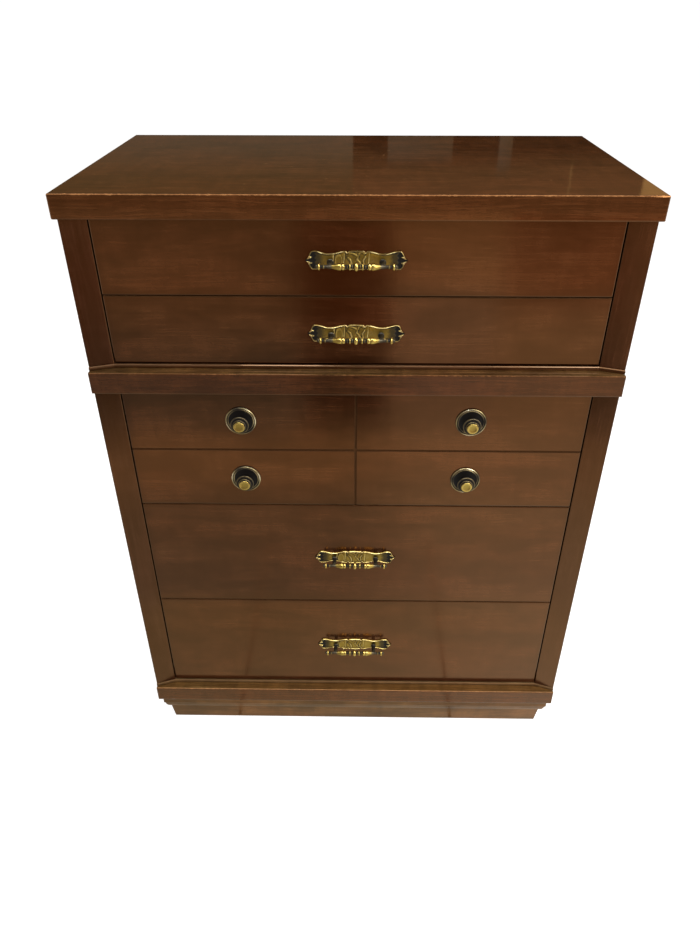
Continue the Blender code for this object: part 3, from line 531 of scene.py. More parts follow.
def brass(name, tints, roughness):
    """Antique brass: the tone of the mesh runs from black, for dirt and painted shade, through gold to
    bright, for wear and painted glints.
    """
    material, tree, shader = new_material(name)
    place = coordinates(tree)
    tone = add(tree, "ShaderNodeAttribute", attribute_name="tone").outputs["Fac"]
    for strength, *pattern in TONE_PATTERNS:
        patches = calc(tree, "SUBTRACT", noise(tree, place, *pattern), 0.5)
        tone = calc(tree, "MULTIPLY_ADD", patches, strength, tone)
    colour = tints[0]
    for tint, ends in zip(tints[1:], TINT_RANGES):
        colour = blend(tree, remap(tree, tone, *ends), colour, tint)
    smooth = remap(tree, tone, *SMOOTH_RANGE, DIRT_ROUGHNESS, roughness)
    metal = remap(tree, tone, *METAL_RANGE)
    pits = bumped(tree, noise(tree, place, *PITS), *PIT_RELIEF)
    feed(tree, shader, {"Base Color": colour, "Roughness": smooth, "Metallic": metal,
                        "Specular IOR Level": DIRT_GLOSS, "Normal": pits})
    return material


def ease(value, low, high):
    """0 at low and 1 at high, smooth between them. Low may be the larger."""
    share = min(max((value - low) / (high - low), 0.0), 1.0)
    return share * share * (3 - 2 * share)


def bell(distance, width):
    """1 at no distance, fading to 0."""
    return math.exp(-((distance / width) ** 2))


def mix(first, second, share):
    """A number between two others."""
    return first + (second - first) * share


def path_distance(x, z, path):
    """Distance from a point to the nearest part of a path."""
    nearest = math.inf
    for (x0, z0), (x1, z1) in zip(path, path[1:]):
        run, rise = x1 - x0, z1 - z0
        share = ((x - x0) * run + (z - z0) * rise) / (run * run + rise * rise)
        share = min(max(share, 0.0), 1.0)
        nearest = min(nearest, math.hypot(x - x0 - share * run, z - z0 - share * rise))
    return nearest


def new_body():
    """An empty mesh whose points carry a tone."""
    body = bmesh.new()
    return body, body.verts.layers.float.new("tone")


def skin(body, rings, capped=True):
    """Join rings of points into a solid with caps at its ends. A ring at an end may be one point."""
    for first, second in zip(rings, rings[1:]):
        count = max(len(first), len(second))
        for i in range(count):
            j = (i + 1) % count
            corners = (first[i % len(first)], first[j % len(first)],
                       second[j % len(second)], second[i % len(second)])
            body.faces.new(list(dict.fromkeys(corners)))
    for end in (rings[0], rings[-1]):
        if capped and len(end) > 2:
            body.faces.new(end)


def finish_mesh(body, name, sharp=50):
    """Turn a body into a smooth mesh that stays crisp at edges sharper than an angle in degrees."""
    bmesh.ops.recalc_face_normals(body, faces=body.faces)
    mesh = bpy.data.meshes.new(name)
    body.to_mesh(mesh)
    body.free()
    mesh.shade_smooth()
    mesh.set_sharp_from_angle(angle=math.radians(sharp))
    return mesh


def add_turned(body, tones, profile, sides, place=None, shade=None):
    """Add a solid turned about X from a profile in millimetres: distance along, radius and tone.

    A shade gives the radius and tone that a point of it has instead."""
    rings = []
    for along, radius, tone in profile:
        ring = []
        for i in range(sides if radius > 0 else 1):
            angle = math.tau * i / sides
            reach, look = shade(along, angle, radius, tone) if shade else (radius, tone)
            point = Vector((along, -reach * math.cos(angle), reach * math.sin(angle))) * MM
            vert = body.verts.new(place @ point if place else point)
            vert[tones] = look
            ring.append(vert)
        rings.append(ring)
    skin(body, rings)


# Turns that lay a solid turned about X along Y: out of the chest, or back into it
FORWARD = Matrix.Rotation(-math.pi / 2, 4, "Z")
BACKWARD = Matrix.Rotation(math.pi / 2, 4, "Z")


def smooth_profile(points, steps):
    """A profile with a smooth curve through its points."""
    made = []
    padded = [points[0], *points, points[-1]]
    for before, start, end, after in zip(padded, padded[1:], padded[2:], padded[3:]):
        for i in range(steps):
            t = i / steps
            row = []
            for a, b, c, d in zip(before, start, end, after):
                row.append(b + t * (c - a) / 2 + t * t * (a - 2.5 * b + 2 * c - d / 2)
                           + t ** 3 * (1.5 * (b - c) + (d - a) / 2))
            made.append((row[0], max(row[1], 0.0), row[2]))
    made.append(points[-1])
    return made


# A pull's plate, in millimetres. Its edge, from the middle out: distance, half height and slope.
PLATE_EDGE = ((0, 14.5, 0), (16, 13.9, 0), (41, 9.7, 0), (63, 14.1, 0), (70.2, 7.4, -2.8), (76, 0.4, -0.7))
PLATE_LENGTH_HALF = 76.0
PLATE_COLUMNS = 260
PLATE_ROWS = 44
# Notches on either side of the middle: place, depth and width
CREST_NOTCH = (13.6, 2.2, 1.3)
# Ribs across the plate: place and strength, and the wave they follow
PLATE_RIBS = ((-35.0, 1.0), (-19.0, 1.0), (18.0, 1.0), (35.5, 0.4))
RIB_WAVE = 0.5
RIB_WAVE_LENGTH = 5
# An oval leaf, and the stems and leaves between the middle ribs, as paths
OVAL_MIDDLE = (-27, -1.5)
OVAL_HALF = (5.0, 9.0)
FOLIAGE = (
    ((-13.0, 12.0), (-6.0, 10.5), (0.0, 7.5), (2.0, 4.5), (0.5, 1.5), (4.0, -2.5), (8.0, -9.0)),
    ((2.5, 6.5), (4.0, 11.0), (8.5, 12.5), (11.5, 10.0)),
    ((-13.0, 4.0), (-9.0, 0.5), (-7.0, -6.0), (-8.0, -12.0)),
    ((13.0, 5.0), (9.8, 0.0), (11.0, -8.0)),
)
FOLIAGE_MIDDLE = -0.5
FOLIAGE_FADE = (17.5, 16.0)
# Raised lines: height and width, tone and width of the bright crest, then tone, place and width of the
# painted shade beside it. The oval's widths are shares of its size.
RIB_LINE = (0.9, 0.75, 0.34, 0.7, 0.3, 1.9, 0.8)
OVAL_LINE = (0.6, 0.16, 0.22, 0.14, 0.18, 0.32, 0.12)
LEAF_LINE = (0.9, 1.0, 0.3, 0.8, 0.28, 1.9, 0.8)
# Veins that fan out from a point below the leaves
VEINS = 15
VEINS_FROM = (-5, -17)
VEIN_HEIGHT = 0.12
VEIN_TONE = 0.07
# A brighter stretch between two ribs on the right
BRIGHT_STRETCH = (18, 20, 34, 37)
BRIGHT_TONE = 0.1
ORNAMENT_REACH = 38
# Heights above the drawer's face. The plate's back is at the seat.
FLOOR_HEIGHT = 1.1
FIELD_STEP = 0.6
RIM_HEIGHT = 3.0
EDGE_HEIGHT = 2.0
BARB_HEIGHT = 2.9
SLOT_HEIGHT = 1.2
SEAT = 0.3
# The field fades out at a wavy line before the tips, and its gold nearer the middle
FIELD_FADE = (62.5, 60.0)
FIELD_WAVE = (1.2, 0.9)
GOLD_FADE = (59.0, 44.0)
# In from the edge: where the rim ends, the place and width of the painted shade beside it, and the rounded
# edge
RIM_FADE = (1.9, 1.0)
RIM_SHADE_BAND = (2.3, 0.9)
EDGE_FADE = (0.0, 0.8)
# A tip's two barbs spread from here by a slope, each about a line off the middle, beside a slot
BARBS_FROM = 65.0
BARB_SLOPE = 0.36
BARB_MIDDLE = 4.4
BARB_FADE = (-0.3, 0.5)
SLOT_FADE = (1.9, 1.1)
# Tones of the floor at the tips, the field, its gold, the painted shade inside the rim and the rim, and
# shares at the edge
FLOOR_TONE = 0.02
FIELD_TONE = 0.22
GOLD_TONE = 0.36
RIM_SHADE_TONE = 0.3
RIM_TONE = 0.98
# The edge is lighter on the plate's upper side than on its lower: painted light above, painted shade below
UPPER_EDGE_SHARE = 0.75
LOWER_EDGE_SHARE = 0.3
# Tone of the plate's upper side, lighter than its underside as painted light, and its brighter stretches,
# which are painted glints: place, width and strength
CREST_TONE = 0.45
CREST_PAINTED_GLINTS = ((-40.0, 12.0, 0.4), (20.0, 16.0, 0.3))


def plate_half_height(x):
    """Half the height of a pull's plate at a distance from its middle."""
    across = min(abs(x), PLATE_LENGTH_HALF)
    for (start, low, slope_low), (end, high, slope_high) in zip(PLATE_EDGE, PLATE_EDGE[1:]):
        if across <= end:
            break
    span = end - start
    t = (across - start) / span
    half = low * (1 + 2 * t) * (1 - t) ** 2 + slope_low * span * t * (1 - t) ** 2
    half += high * (3 - 2 * t) * t * t + slope_high * span * t * t * (t - 1)
    place, depth, width = CREST_NOTCH
    return half - depth * bell(across - place, width)


def raised_line(gap, line, strength):
    """Extra height and tone at a distance from a line that is bright on top, with painted shade beside it.
    """
    high, width, bright, bright_width, shadow_tone, shadow_at, shadow_width = line
    # Painted shade beside the line
    tone = bright * bell(gap, bright_width) - shadow_tone * bell(gap - shadow_at, shadow_width)
    return strength * high * bell(gap, width), strength * tone


def plate_ornament(x, z):
    """Extra height and tone of the ribs and leaves in the middle of a pull's plate."""
    wave = RIB_WAVE * math.sin(z / RIB_WAVE_LENGTH)
    raised = [raised_line(x - place - wave, RIB_LINE, strength) for place, strength in PLATE_RIBS]
    shares = ((at - middle) / half for at, middle, half in zip((x, z), OVAL_MIDDLE, OVAL_HALF))
    raised.append(raised_line(math.hypot(*shares) - 1, OVAL_LINE, 1.0))
    leafy = ease(abs(x - FOLIAGE_MIDDLE), *FOLIAGE_FADE)
    for path in FOLIAGE:
        raised.append(raised_line(path_distance(x, z, path), LEAF_LINE, leafy))
    root_x, root_z = VEINS_FROM
    vein = leafy * math.sin(VEINS * math.atan2(z - root_z, x - root_x))
    raised.append((VEIN_HEIGHT * vein, VEIN_TONE * vein))
    starts, full, fading, ends = BRIGHT_STRETCH
    raised.append((0.0, BRIGHT_TONE * ease(x, starts, full) * ease(x, ends, fading)))
    heights, tones = zip(*raised)
    return sum(heights), sum(tones)


def plate_field(x, z):
    """Height and tone of a plate inside its rim, and 1 where the field is, 0 at the tips."""
    across = abs(x)
    wave, rate = FIELD_WAVE
    field = ease(across + wave * math.cos(rate * z), *FIELD_FADE)
    height = FLOOR_HEIGHT + FIELD_STEP * field
    tone = FLOOR_TONE + field * (FIELD_TONE + GOLD_TONE * ease(across, *GOLD_FADE))
    if across < ORNAMENT_REACH:
        extra_height, extra_tone = plate_ornament(x, z)
        height += extra_height
        tone += extra_tone
    return height, tone, field


def barbed(x, z, height, tone):
    """The height and tone of a plate with the two barbs and the slot of its tip."""
    lean = BARB_SLOPE * (abs(x) - BARBS_FROM)
    if lean <= 0:
        return height, tone
    barb = ease(lean - abs(abs(z) - BARB_MIDDLE), *BARB_FADE)
    slot = ease(abs(z), *SLOT_FADE)
    height = mix(mix(height, BARB_HEIGHT, barb), SLOT_HEIGHT, slot)
    tone = mix(mix(tone, 1.0, barb), 0.0, slot)
    return height, tone


def plate_relief(x, z):
    """Height above the drawer's face, and tone, at a point of a pull's plate."""
    across = abs(x)
    slope = plate_half_height(across + 0.5) - plate_half_height(abs(across - 0.5))
    inset = (plate_half_height(x) - abs(z)) / math.hypot(1, slope)
    height, tone, field = plate_field(x, z)
    shadow_at, shadow_width = RIM_SHADE_BAND
    # Painted shade just inside the rim
    tone -= RIM_SHADE_TONE * field * bell(inset - shadow_at, shadow_width)
    rim = ease(inset, *RIM_FADE)
    edge = ease(inset, *EDGE_FADE)
    height = mix(EDGE_HEIGHT, mix(height, RIM_HEIGHT, rim), edge)
    # Painted light on the upper edge, painted shade on the lower
    tone = mix(tone, RIM_TONE, rim) * mix(UPPER_EDGE_SHARE if z > 0 else LOWER_EDGE_SHARE, 1.0, edge)
    height, tone = barbed(x, z, height, tone)
    return height, min(max(tone, 0.0), 1.0)


def crest_tone(x):
    """Tone along the upper side of a pull's plate, lighter as painted light, with painted glints."""
    return CREST_TONE + sum(strength * bell(x - place, width) for place, width, strength in CREST_PAINTED_GLINTS)


def plate_mesh():
    """A pull's cast plate: thick, with a raised rim, barbed tips, ribs and leaves."""
    body, tones = new_body()
    rings = []
    for i in range(PLATE_COLUMNS + 1):
        x = PLATE_LENGTH_HALF * (2 * i / PLATE_COLUMNS - 1)
        half = plate_half_height(x)
        ring = [body.verts.new((x * MM, -SEAT * MM, -half * MM))]
        for j in range(PLATE_ROWS + 1):
            t = 2 * j / PLATE_ROWS - 1
            z = half * (t + math.sin(math.pi / 2 * t)) / 2
            height, tone = plate_relief(x, z)
            vert = body.verts.new((x * MM, -height * MM, z * MM))
            vert[tones] = tone
            ring.append(vert)
        top = body.verts.new((x * MM, -SEAT * MM, half * MM))
        top[tones] = crest_tone(x)
        ring.append(top)
        rings.append(ring)
    skin(body, rings)
    return finish_mesh(body, "pull_plate")


# Pull bar, in millimetres from its middle: distance along, radius and tone
BAR_HALF = (
    (0.0, 6.85, 1.0), (1.4, 6.6, 1.0), (2.6, 5.4, 0.7), (3.3, 3.6, 0.2), (4.3, 3.0, 0.05),
    (5.4, 3.3, 0.12), (6.2, 3.8, 0.45), (7.0, 3.2, 0.1), (8.0, 3.2, 0.08), (8.5, 5.1, 0.75),
    (9.4, 5.6, 1.0), (10.3, 5.1, 0.75), (10.8, 3.2, 0.08), (12.2, 3.0, 0.05), (13.3, 4.0, 0.45),
    (14.4, 3.1, 0.1), (16.2, 3.1, 0.05), (17.0, 4.1, 0.45), (18.2, 5.2, 0.95), (20.0, 5.3, 1.0),
    (21.3, 4.95, 0.8), (22.0, 4.7, 0.35), (23.0, 5.3, 0.85), (25.0, 5.6, 0.95), (27.4, 5.2, 0.9),
    (30.4, 4.3, 0.8), (34.0, 3.35, 0.6), (37.5, 2.7, 0.3), (42.0, 2.4, 0.16), (45.6, 2.4, 0.14),
    (46.6, 2.6, 0.2), (47.8, 3.6, 0.5), (49.0, 2.6, 0.16), (50.4, 2.4, 0.1), (52.6, 2.5, 0.1),
    (53.3, 4.9, 0.7), (54.7, 5.6, 1.0), (56.1, 4.9, 0.7), (56.7, 2.7, 0.12), (58.0, 3.0, 0.35),
    (59.2, 2.6, 0.15), (60.3, 1.6, 0.3), (60.75, 0.0, 0.35),
)
BAR_SIDES = 32
BAR_SMOOTHING = 3
# Leaf flutes between two places along the bar
FLUTES = 8
FLUTES_START = (22.5, 25.0)
FLUTES_END = (37.0, 31.0)
FLUTE_DEPTH = 0.25
FLUTE_SHADE = 0.22
# A post, from the plate to the middle of the bar
POST = (
    (0.0, 0.0, 0.1), (0.0, 5.2, 0.1), (1.1, 5.2, 0.25), (1.9, 4.2, 0.1), (3.2, 3.7, 0.06),
    (12.0, 3.5, 0.06), (17.0, 3.8, 0.12), (20.0, 3.9, 0.16), (21.0, 0.0, 0.16),
)
POST_SPREAD = 39.0
POST_SIDES = 24
BEAD_RADIUS = BAR_HALF[0][1]


def fluted(along, angle, radius, tone):
    """Radius and tone where leaf flutes run round the swelling of a pull's bar."""
    share = ease(abs(along), *FLUTES_START) * ease(abs(along), *FLUTES_END)
    groove = share * (1 - math.cos(FLUTES * angle)) / 2
    return radius - FLUTE_DEPTH * groove, tone - FLUTE_SHADE * groove


def bar_mesh(depth):
    """A pull's turned bar and its two posts, which reach back by a depth in millimetres."""
    body, tones = new_body()
    half = smooth_profile(BAR_HALF, BAR_SMOOTHING)
    mirrored = [(-along, radius, tone) for along, radius, tone in reversed(half[1:])]
    add_turned(body, tones, mirrored + half, BAR_SIDES, shade=fluted)
    lengthening = depth / POST[-1][0]
    profile = [(along * lengthening, radius, tone) for along, radius, tone in POST]
    for side in (-1, 1):
        foot = Matrix.Translation((side * POST_SPREAD * MM, depth * MM, 0))
        add_turned(body, tones, profile, POST_SIDES, foot @ FORWARD)
    return finish_mesh(body, "pull_bar")


# Knobs, in millimetres: distance back from the face, radius and tone
KNOB = (
    (0.9, 0.0, 0.66), (0.8, 3.4, 0.64), (0.5, 5.4, 0.68), (0.1, 6.6, 0.84), (0.0, 7.8, 0.9),
    (0.0, 8.6, 0.9), (0.3, 9.3, 0.88), (0.8, 9.5, 0.66), (1.4, 9.5, 0.12), (3.4, 9.4, 0.0),
    (3.6, 9.6, 0.02), (3.6, 10.0, 0.1), (3.5, 10.4, 0.34), (3.7, 10.8, 0.4), (4.2, 11.1, 0.3),
    (4.9, 11.1, 0.08), (7.0, 11.0, 0.0), (7.2, 11.6, 0.02), (7.2, 13.7, 0.08), (7.1, 14.5, 0.32),
    (7.3, 15.1, 0.38), (7.9, 15.4, 0.24), (8.8, 15.4, 0.1), (10.2, 15.2, 0.05), (10.8, 14.6, 0.05),
    (12.2, 10.0, 0.0), (14.4, 6.5, 0.0), (20.2, 6.5, 0.0), (20.3, 4.0, 0.0), (24.2, 4.0, 0.0),
    (24.2, 0.0, 0.0),
)
KNOB_SIDES = 56
KNOB_SHARP = 60
# A knob's plate: height above the drawer's face, radius and tone
KNOB_PLATE = (
    (0.3, 4.4, 0.0), (0.3, 25.7, 0.2), (0.9, 26.0, 0.4), (1.8, 26.0, 0.6), (2.6, 25.6, 0.9),
    (3.2, 24.9, 1.1), (3.3, 24.3, 1.0), (3.0, 23.8, 0.5), (2.3, 23.3, 0.2), (1.8, 22.9, 0.1),
    (1.9, 22.4, 0.3), (2.4, 21.9, 0.7), (2.6, 21.4, 0.8), (2.3, 20.9, 0.5), (1.6, 20.3, 0.1),
    (1.4, 18.0, 0.0), (1.2, 15.0, 0.0), (1.1, 8.0, 0.0), (1.1, 4.4, 0.0),
)
KNOB_PLATE_SIDES = 72
# How hands have rubbed it: an even share, and waves round it as size, count and start
EVEN_RUB = 0.66
RUB_WAVES = ((0.28, 2, 0.8), (0.16, 5, 2.0))
# How far each knob and plate is turned from the last one's
KNOB_TURN = 1.1
KNOB_PLATE_TURN = 1.7


def patchy(angle):
    """How bright a knob's plate is at an angle round it, where hands have rubbed it."""
    return EVEN_RUB + sum(size * math.sin(count * angle + start) for size, count, start in RUB_WAVES)


def knob_mesh():
    """A knob of three stepped discs on a neck."""
    body, tones = new_body()
    add_turned(body, tones, KNOB, KNOB_SIDES, BACKWARD)
    return finish_mesh(body, "knob", KNOB_SHARP)


def knob_plate_mesh():
    """A knob's round plate: a bright rim, a groove, a thin ring and a black dish."""
    body, tones = new_body()
    rings = []
    for height, radius, tone in KNOB_PLATE:
        ring = []
        for i in range(KNOB_PLATE_SIDES):
            angle = math.tau * i / KNOB_PLATE_SIDES
            point = Vector((radius * math.cos(angle), -height, radius * math.sin(angle)))
            vert = body.verts.new(point * MM)
            vert[tones] = tone * patchy(angle)
            ring.append(vert)
        rings.append(ring)
    skin(body, rings + rings[:1], capped=False)
    return finish_mesh(body, "knob_plate", KNOB_SHARP)


# A screw's head and washer, in millimetres: distance out from the wood, radius and tone
SCREW = (
    (-0.3, 0.0, 0.3), (-0.3, 5.4, 0.3), (0.7, 5.5, 0.5), (1.0, 5.1, 0.7), (1.0, 4.1, 0.2),
    (1.3, 4.0, 0.6), (2.2, 3.7, 0.8), (2.9, 2.8, 0.8), (3.2, 1.4, 0.7), (2.1, 1.0, 0.0),
    (1.9, 0.0, 0.0),
)
SCREW_SIDES = 24
SCREW_SHARP = 40


def screw_mesh():
    """The head of a screw that holds a pull or knob, as it shows inside the drawer."""
    body, tones = new_body()
    add_turned(body, tones, SCREW, SCREW_SIDES, BACKWARD)
    return finish_mesh(body, "screw", SCREW_SHARP)


def new_object(name, data):
    """A new object in the scene."""
    made = bpy.data.objects.new(name, data)
    bpy.context.scene.collection.objects.link(made)
    return made


def piece(name, mesh, material, body, node=None, at=(0, 0, 0), turn=0.0):
    """Place a new piece on a body, turned about Y, in place of a CAD node where it has one."""
    made = new_object(name, mesh)
    mesh.materials.append(material)
    made.location = at
    made.rotation_euler = (0.0, turn, 0.0)
    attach(made, body)
    if node:
        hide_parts(node)


def add_pull(drawer, plate, screw, cast, turned):
    """A drawer's pull: its cast plate, its turned bar with posts, and the two screws inside."""
    face, inside = (corner.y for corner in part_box(f"{drawer}_front"))
    node = f"{drawer}_pull_plate"
    low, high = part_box(node)
    place = (0, face, (low.z + high.z) / 2)
    piece(f"{node}_cast", plate.copy(), cast, drawer, node, place)
    node = f"{drawer}_pull_bar"
    low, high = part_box(node)
    level = (low.z + high.z) / 2
    axis = low.y + BEAD_RADIUS * MM
    bar = bar_mesh((high.y - axis) / MM)
    piece(f"{node}_turned", bar, turned, drawer, node, (0, axis, level))
    for side, word in ((-1, "left"), (1, "right")):
        place = (side * POST_SPREAD * MM, inside, level)
        piece(f"{drawer}_screw_{word}", screw.copy(), turned, drawer, at=place)


def add_knobs(screw, turned, rim):
    """The third drawer's knobs: each with its dished plate, and the screw inside."""
    drawer = KNOB_DRAWER
    face, inside = (corner.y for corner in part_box(f"{drawer}_front"))
    for index, node in enumerate(KNOBS):
        low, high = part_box(node)
        middle = (low + high) / 2
        place = (middle.x, low.y, middle.z)
        piece(f"{node}_turned", knob_mesh(), turned, drawer, node, place,
              KNOB_TURN * index)
        plate = f"{node}_plate"
        place = (middle.x, face, middle.z)
        piece(f"{plate}_dished", knob_plate_mesh(), rim, drawer, plate, place,
              KNOB_PLATE_TURN * index)
        place = (middle.x, inside, middle.z)
        piece(f"{node}_screw", screw.copy(), turned, drawer, at=place)


def add_hardware():
    """Cast and turned brass in place of the plain pulls and knobs."""
    cast = brass("plate_brass", PLATE_TINTS, PLATE_ROUGHNESS)
    turned = brass("turned_brass", TURNED_TINTS, TURNED_ROUGHNESS)
    rim = brass("rim_brass", RIM_TINTS, RIM_ROUGHNESS)
    plate = plate_mesh()
    screw = screw_mesh()
    for drawer in PULL_DRAWERS:
        add_pull(drawer, plate, screw, cast, turned)
    add_knobs(screw, turned, rim)


# The floor: half its width, its level just under the chest, and how brightly it is seen
FLOOR_HALF = 300.0
FLOOR_LEVEL = -0.0005
FLOOR_COLOUR = (0.5, 0.5, 0.5, 1.0)
FLOOR_ROUGHNESS = 0.9
FLOOR_GLOW = 0.82
BLACK = (0.0, 0.0, 0.0, 1.0)
WHITE = (1.0, 1.0, 1.0, 1.0)


def add_sheet(name, corners):
    """A flat sheet without gloss, with its node tree and its shader."""
    mesh = bpy.data.meshes.new(name)
    mesh.from_pydata(corners, [], [(0, 1, 2, 3)])
    sheet = new_object(name, mesh)
    material, tree, shader = new_material(name)
    shader.inputs["Specular IOR Level"].default_value = 0.0
    mesh.materials.append(material)
    return sheet, tree, shader


def level_corners(x_ends, y_ends, z):
    """The corners of a sheet that lies level."""
    (x_from, x_to), (y_from, y_to) = x_ends, y_ends
    return [(x_from, y_from, z), (x_to, y_from, z), (x_to, y_to, z), (x_from, y_to, z)]


def add_floor():
    """A pale floor that shows white and keeps the chest's shadow."""
    ends = (-FLOOR_HALF, FLOOR_HALF)
    floor, tree, shader = add_sheet("floor", level_corners(ends, ends, 0.0))
    floor.location.z = FLOOR_LEVEL
    path = add(tree, "ShaderNodeLightPath").outputs
    seen = calc(tree, "MAXIMUM", path["Is Camera Ray"], path["Is Glossy Ray"])
    seen = calc(tree, "MAXIMUM", seen, path["Is Transmission Ray"])
    glow = calc(tree, "MULTIPLY", seen, FLOOR_GLOW)
    feed(tree, shader, {"Base Color": FLOOR_COLOUR, "Roughness": FLOOR_ROUGHNESS,
                        "Emission Color": WHITE, "Emission Strength": glow})


# Cards in layers, nearer ones before farther ones: places along Y, and heights above the floor
REAR_FAR = 1.2
REAR_NEAR = 1.19
FRONT_HIGH = -1.53
FRONT_FAR = -1.52
FRONT_EDGE = -1.51
FRONT_NEAR = -1.5
FLOOR_LAYERS = (0.002, 0.003, 0.004, 0.005)
# Where cards end: at the sides, where two meet, at their foot or top, and at the chest's front
CARD_REACH = 2.4
REAR_SPLIT = -0.02
REAR_FOOT = 1.22
FRONT_SPLIT = 0.48
FRONT_TOP = 0.8
FLOOR_SPLIT = -0.6
CHEST_FRONT = -0.2115
DIM_EDGE = -0.86
# Joints between the room's tiles, which the low drawers reflect: painted reflections
TILE_JOINTS = {"tile_joint_left_card": -0.26, "tile_joint_right_card": 0.216}
TILE_JOINT_HALF = 0.003
TILE_JOINT_FAR = -0.86
# Glowing panels overhead, no lamps, that paint glints in reflections, by their ends along X
GLINTS = {"glint_left_card": (-0.6, -0.14), "glint_right_card": (0.92, 1.45)}
GLINT_ENDS = (-2.4, -0.9)
GLINT_HEIGHT = 3.3
GLARE = (9.0, 11.0, 14.0)


def add_card(name, corners, shades, fade, along):
    """A card outside the picture that glows, though it is no lamp, and that only reflections show, as a
    studio flag does: a painted reflection.

    Its two shades blend along one of its sides, between the shares of it in fade."""
    card, tree, shader = add_sheet(name, corners)
    shade = blend(tree, remap(tree, axes(tree, "Generated")[along], *fade), *shades)
    feed(tree, shader, {"Base Color": BLACK, "Emission Color": shade, "Emission Strength": 1.0})
    card.visible_camera = False
    card.visible_diffuse = False
    card.visible_shadow = False


def upright_card(name, x_ends, y, z_ends, shades, fade=FULL_FADE, along="X"):
    """A card that stands upright and faces along Y."""
    (x_from, x_to), (z_from, z_to) = x_ends, z_ends
    corners = [(x_from, y, z_from), (x_to, y, z_from), (x_to, y, z_to), (x_from, y, z_to)]
    add_card(name, corners, shades, fade, along)


def level_card(name, x_ends, y_ends, z, shades, fade=FULL_FADE, along="X"):
    """A card that lies level."""
    add_card(name, level_corners(x_ends, y_ends, z), shades, fade, along)


def add_rear_cards():
    """Glowing cards behind the chest, which the top reflects: painted reflections of walls, pale patches
    and a bright corner.
    """
    left, right = (-CARD_REACH, REAR_SPLIT), (REAR_SPLIT, CARD_REACH)
    wall = (REAR_FOOT, 2.8)
    grey, ochre = (0.133, 0.103, 0.064), (0.14, 0.088, 0.034)
    upright_card("rear_left_card", left, REAR_FAR, wall, (grey, ochre), (0.05, 0.15), "Z")
    dim, glow = (0.03, 0.014, 0.005), (0.168, 0.09, 0.036)
    upright_card("rear_right_card", right, REAR_FAR, wall, (dim, glow), (0.05, 0.16), "Z")
    pale, brown = (0.118, 0.086, 0.052), (0.1, 0.07, 0.038)
    upright_card("rear_patch_card", (0.09, 0.295), REAR_NEAR, (1.289, 1.372), (pale, brown))
    upright_card("rear_strip_card", (0.44, 0.482), REAR_NEAR, (REAR_FOOT, 1.4), (pale, brown))
    straw = (0.26, 0.16, 0.06)
    upright_card("rear_line_card", (0.676, 0.682), REAR_NEAR, (1.385, 1.5), (straw, straw))
    gold = (0.54, 0.32, 0.11)
    upright_card("rear_corner_card", (0.915, CARD_REACH), REAR_NEAR, (REAR_FOOT, 2.0), (gold, gold))


def add_front_cards():
    """Glowing cards before the chest, which the drawers reflect: painted reflections of windows, a wall
    and a dark figure.
    """
    left, inner, outer = (-CARD_REACH, 0.0), (0.0, FRONT_SPLIT), (FRONT_SPLIT, CARD_REACH)
    low = (0.0, FRONT_TOP)
    dusk, haze = (0.3, 0.34, 0.44), (0.5, 0.42, 0.38)
    upright_card("front_left_card", left, FRONT_FAR, low, (dusk, haze), (0.35, 0.6), "Z")
    day, cream = (0.76, 0.74, 0.85), (0.86, 0.7, 0.6)
    upright_card("front_inner_card", inner, FRONT_FAR, low, (day, cream), (0.62, 0.75), "Z")
    day, amber = (0.9, 0.84, 0.82), (0.56, 0.34, 0.24)
    upright_card("front_outer_card", outer, FRONT_FAR, low, (day, amber), (0.44, 0.75), "Z")
    brown, tan = (0.32, 0.25, 0.2), (0.38, 0.3, 0.23)
    upright_card("front_high_card", (-2.6, 2.6), FRONT_HIGH, (FRONT_TOP, 1.3), (brown, tan))
    umber, red = (0.05, 0.03, 0.02), (0.26, 0.11, 0.04)
    figure = (-0.2, 0.11)
    upright_card("front_middle_card", figure, FRONT_NEAR, (0.0, 0.78), (umber, red), (0.25, 0.7), "Z")


def add_floor_cards():
    """Glowing cards on the floor before the chest, seen only in reflections: painted reflections of its
    far part and a paler band across it.
    """
    base, band = FLOOR_LAYERS[:2]
    across, depth = (-CARD_REACH, CARD_REACH), (FRONT_FAR, FLOOR_SPLIT)
    grey, white = (0.52, 0.52, 0.52), (0.98, 1.02, 1.04)
    level_card("floor_far_card", across, depth, base, (grey, white), (0.479, 0.573))
    across, depth = (-0.85, CARD_REACH), (FRONT_NEAR, -1.13)
    tan, white = (0.82, 0.71, 0.6), (1.0, 1.0, 1.02)
    level_card("floor_band_card", across, depth, band, (tan, white), (0.231, 0.369))


def add_dim_cards():
    """Painted reflections of the dim strip on the left, where the floor meets the wall, and of the seam
    beside it.
    """
    band, seam = FLOOR_LAYERS[1:3]
    strip = (-CARD_REACH, DIM_EDGE)
    slate, blue = (0.22, 0.26, 0.36), (0.3, 0.34, 0.42)
    upright_card("front_edge_card", strip, FRONT_EDGE, (0.0, 0.16), (slate, slate))
    level_card("floor_seam_card", (DIM_EDGE, -0.25), (FRONT_FAR, -1.455), seam, (blue, blue))
    level_card("floor_edge_card", strip, (FRONT_NEAR, -1.36), band, (blue, blue))


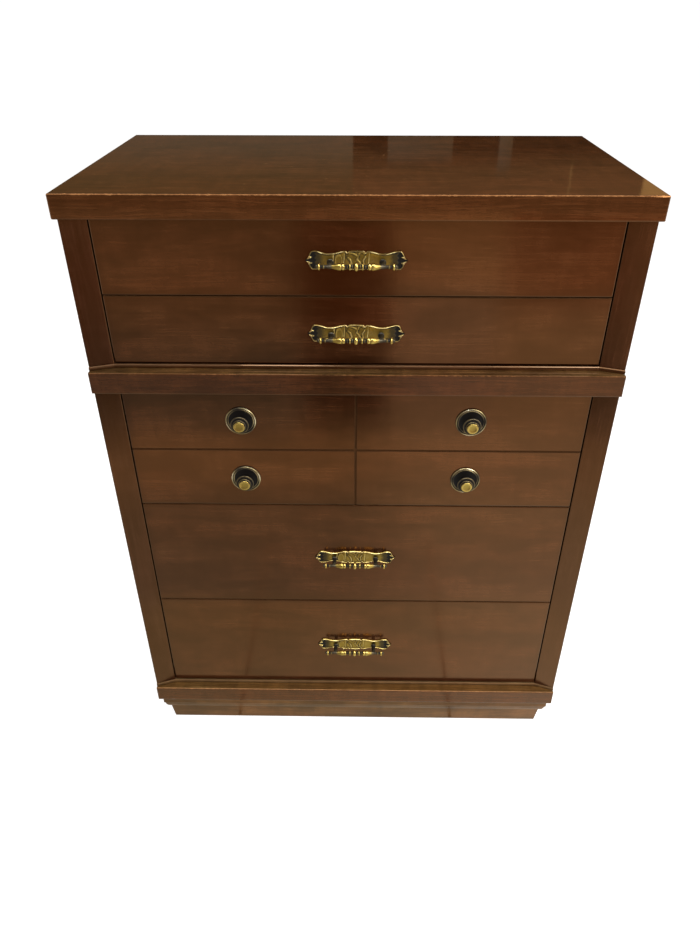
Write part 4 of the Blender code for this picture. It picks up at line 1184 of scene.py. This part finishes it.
def add_near_cards():
    """Painted reflections of the floor just before the chest, and of the joints between its tiles."""
    base, joints = FLOOR_LAYERS[0], FLOOR_LAYERS[-1]
    depth = (FLOOR_SPLIT, CHEST_FRONT)
    khaki, white = (0.68, 0.66, 0.5), (1.16, 1.2, 1.1)
    level_card("floor_near_card", (-1.4, 1.4), depth, base, (khaki, white), (0.393, 0.721))
    depth = (TILE_JOINT_FAR, CHEST_FRONT)
    faint, dark = (0.5, 0.38, 0.26), (0.05, 0.03, 0.02)
    for name, x in TILE_JOINTS.items():
        ends = (x - TILE_JOINT_HALF, x + TILE_JOINT_HALF)
        level_card(name, ends, depth, joints, (faint, dark), (0.7, 0.92), "Y")


def add_glints():
    """Small glowing panels overhead, no lamps, seen only in reflections: painted glints on lips and brass.
    """
    for name, ends in GLINTS.items():
        level_card(name, ends, GLINT_ENDS, GLINT_HEIGHT, (GLARE, GLARE))


# Lamps: place, the point they face, width and length, and power
LAMPS = {
    "key": ((2.2, -2.0, 2.2), (0.0, -0.2, 0.6), (1.8, 1.8), 80.0),
    "overhead": ((0.0, -0.7, 3.4), (0.0, -0.2, 0.0), (3.0, 2.0), 75.0),
}
WORLD_COLOUR = (1.0, 0.98, 0.95, 1.0)
WORLD_STRENGTH = 0.4


def add_light(name, place, target, size, power):
    """A soft lamp that faces a point."""
    data = bpy.data.lights.new(name, "AREA")
    data.shape = "RECTANGLE"
    data.size, data.size_y = size
    data.energy = power
    lamp = new_object(name, data)
    lamp.location = place
    direction = Vector(target) - Vector(place)
    lamp.rotation_euler = direction.to_track_quat("-Z", "Y").to_euler()
    lamp.visible_camera = False


def add_world():
    """Even soft light from all round."""
    world = bpy.data.worlds.new("studio")
    world.use_nodes = True
    tree = world.node_tree
    feed(tree, tree.nodes["Background"], {"Color": WORLD_COLOUR, "Strength": WORLD_STRENGTH})
    bpy.context.scene.world = world


def add_camera():
    """The camera, at the photograph's viewing angle."""
    data = bpy.data.cameras.new("camera")
    data.lens = CAMERA_LENS
    data.sensor_width = CAMERA_SENSOR
    data.clip_end = CAMERA_REACH
    camera = new_object("camera", data)
    camera.location = CAMERA_PLACE
    camera.rotation_euler = CAMERA_TURN
    bpy.context.scene.camera = camera


dress_wood()
add_hardware()
add_floor()
add_rear_cards()
add_front_cards()
add_floor_cards()
add_dim_cards()
add_near_cards()
add_glints()
add_world()
for lamp, values in LAMPS.items():
    add_light(lamp, *values)
add_camera()
bpy.context.scene.view_settings.view_transform = "Standard"
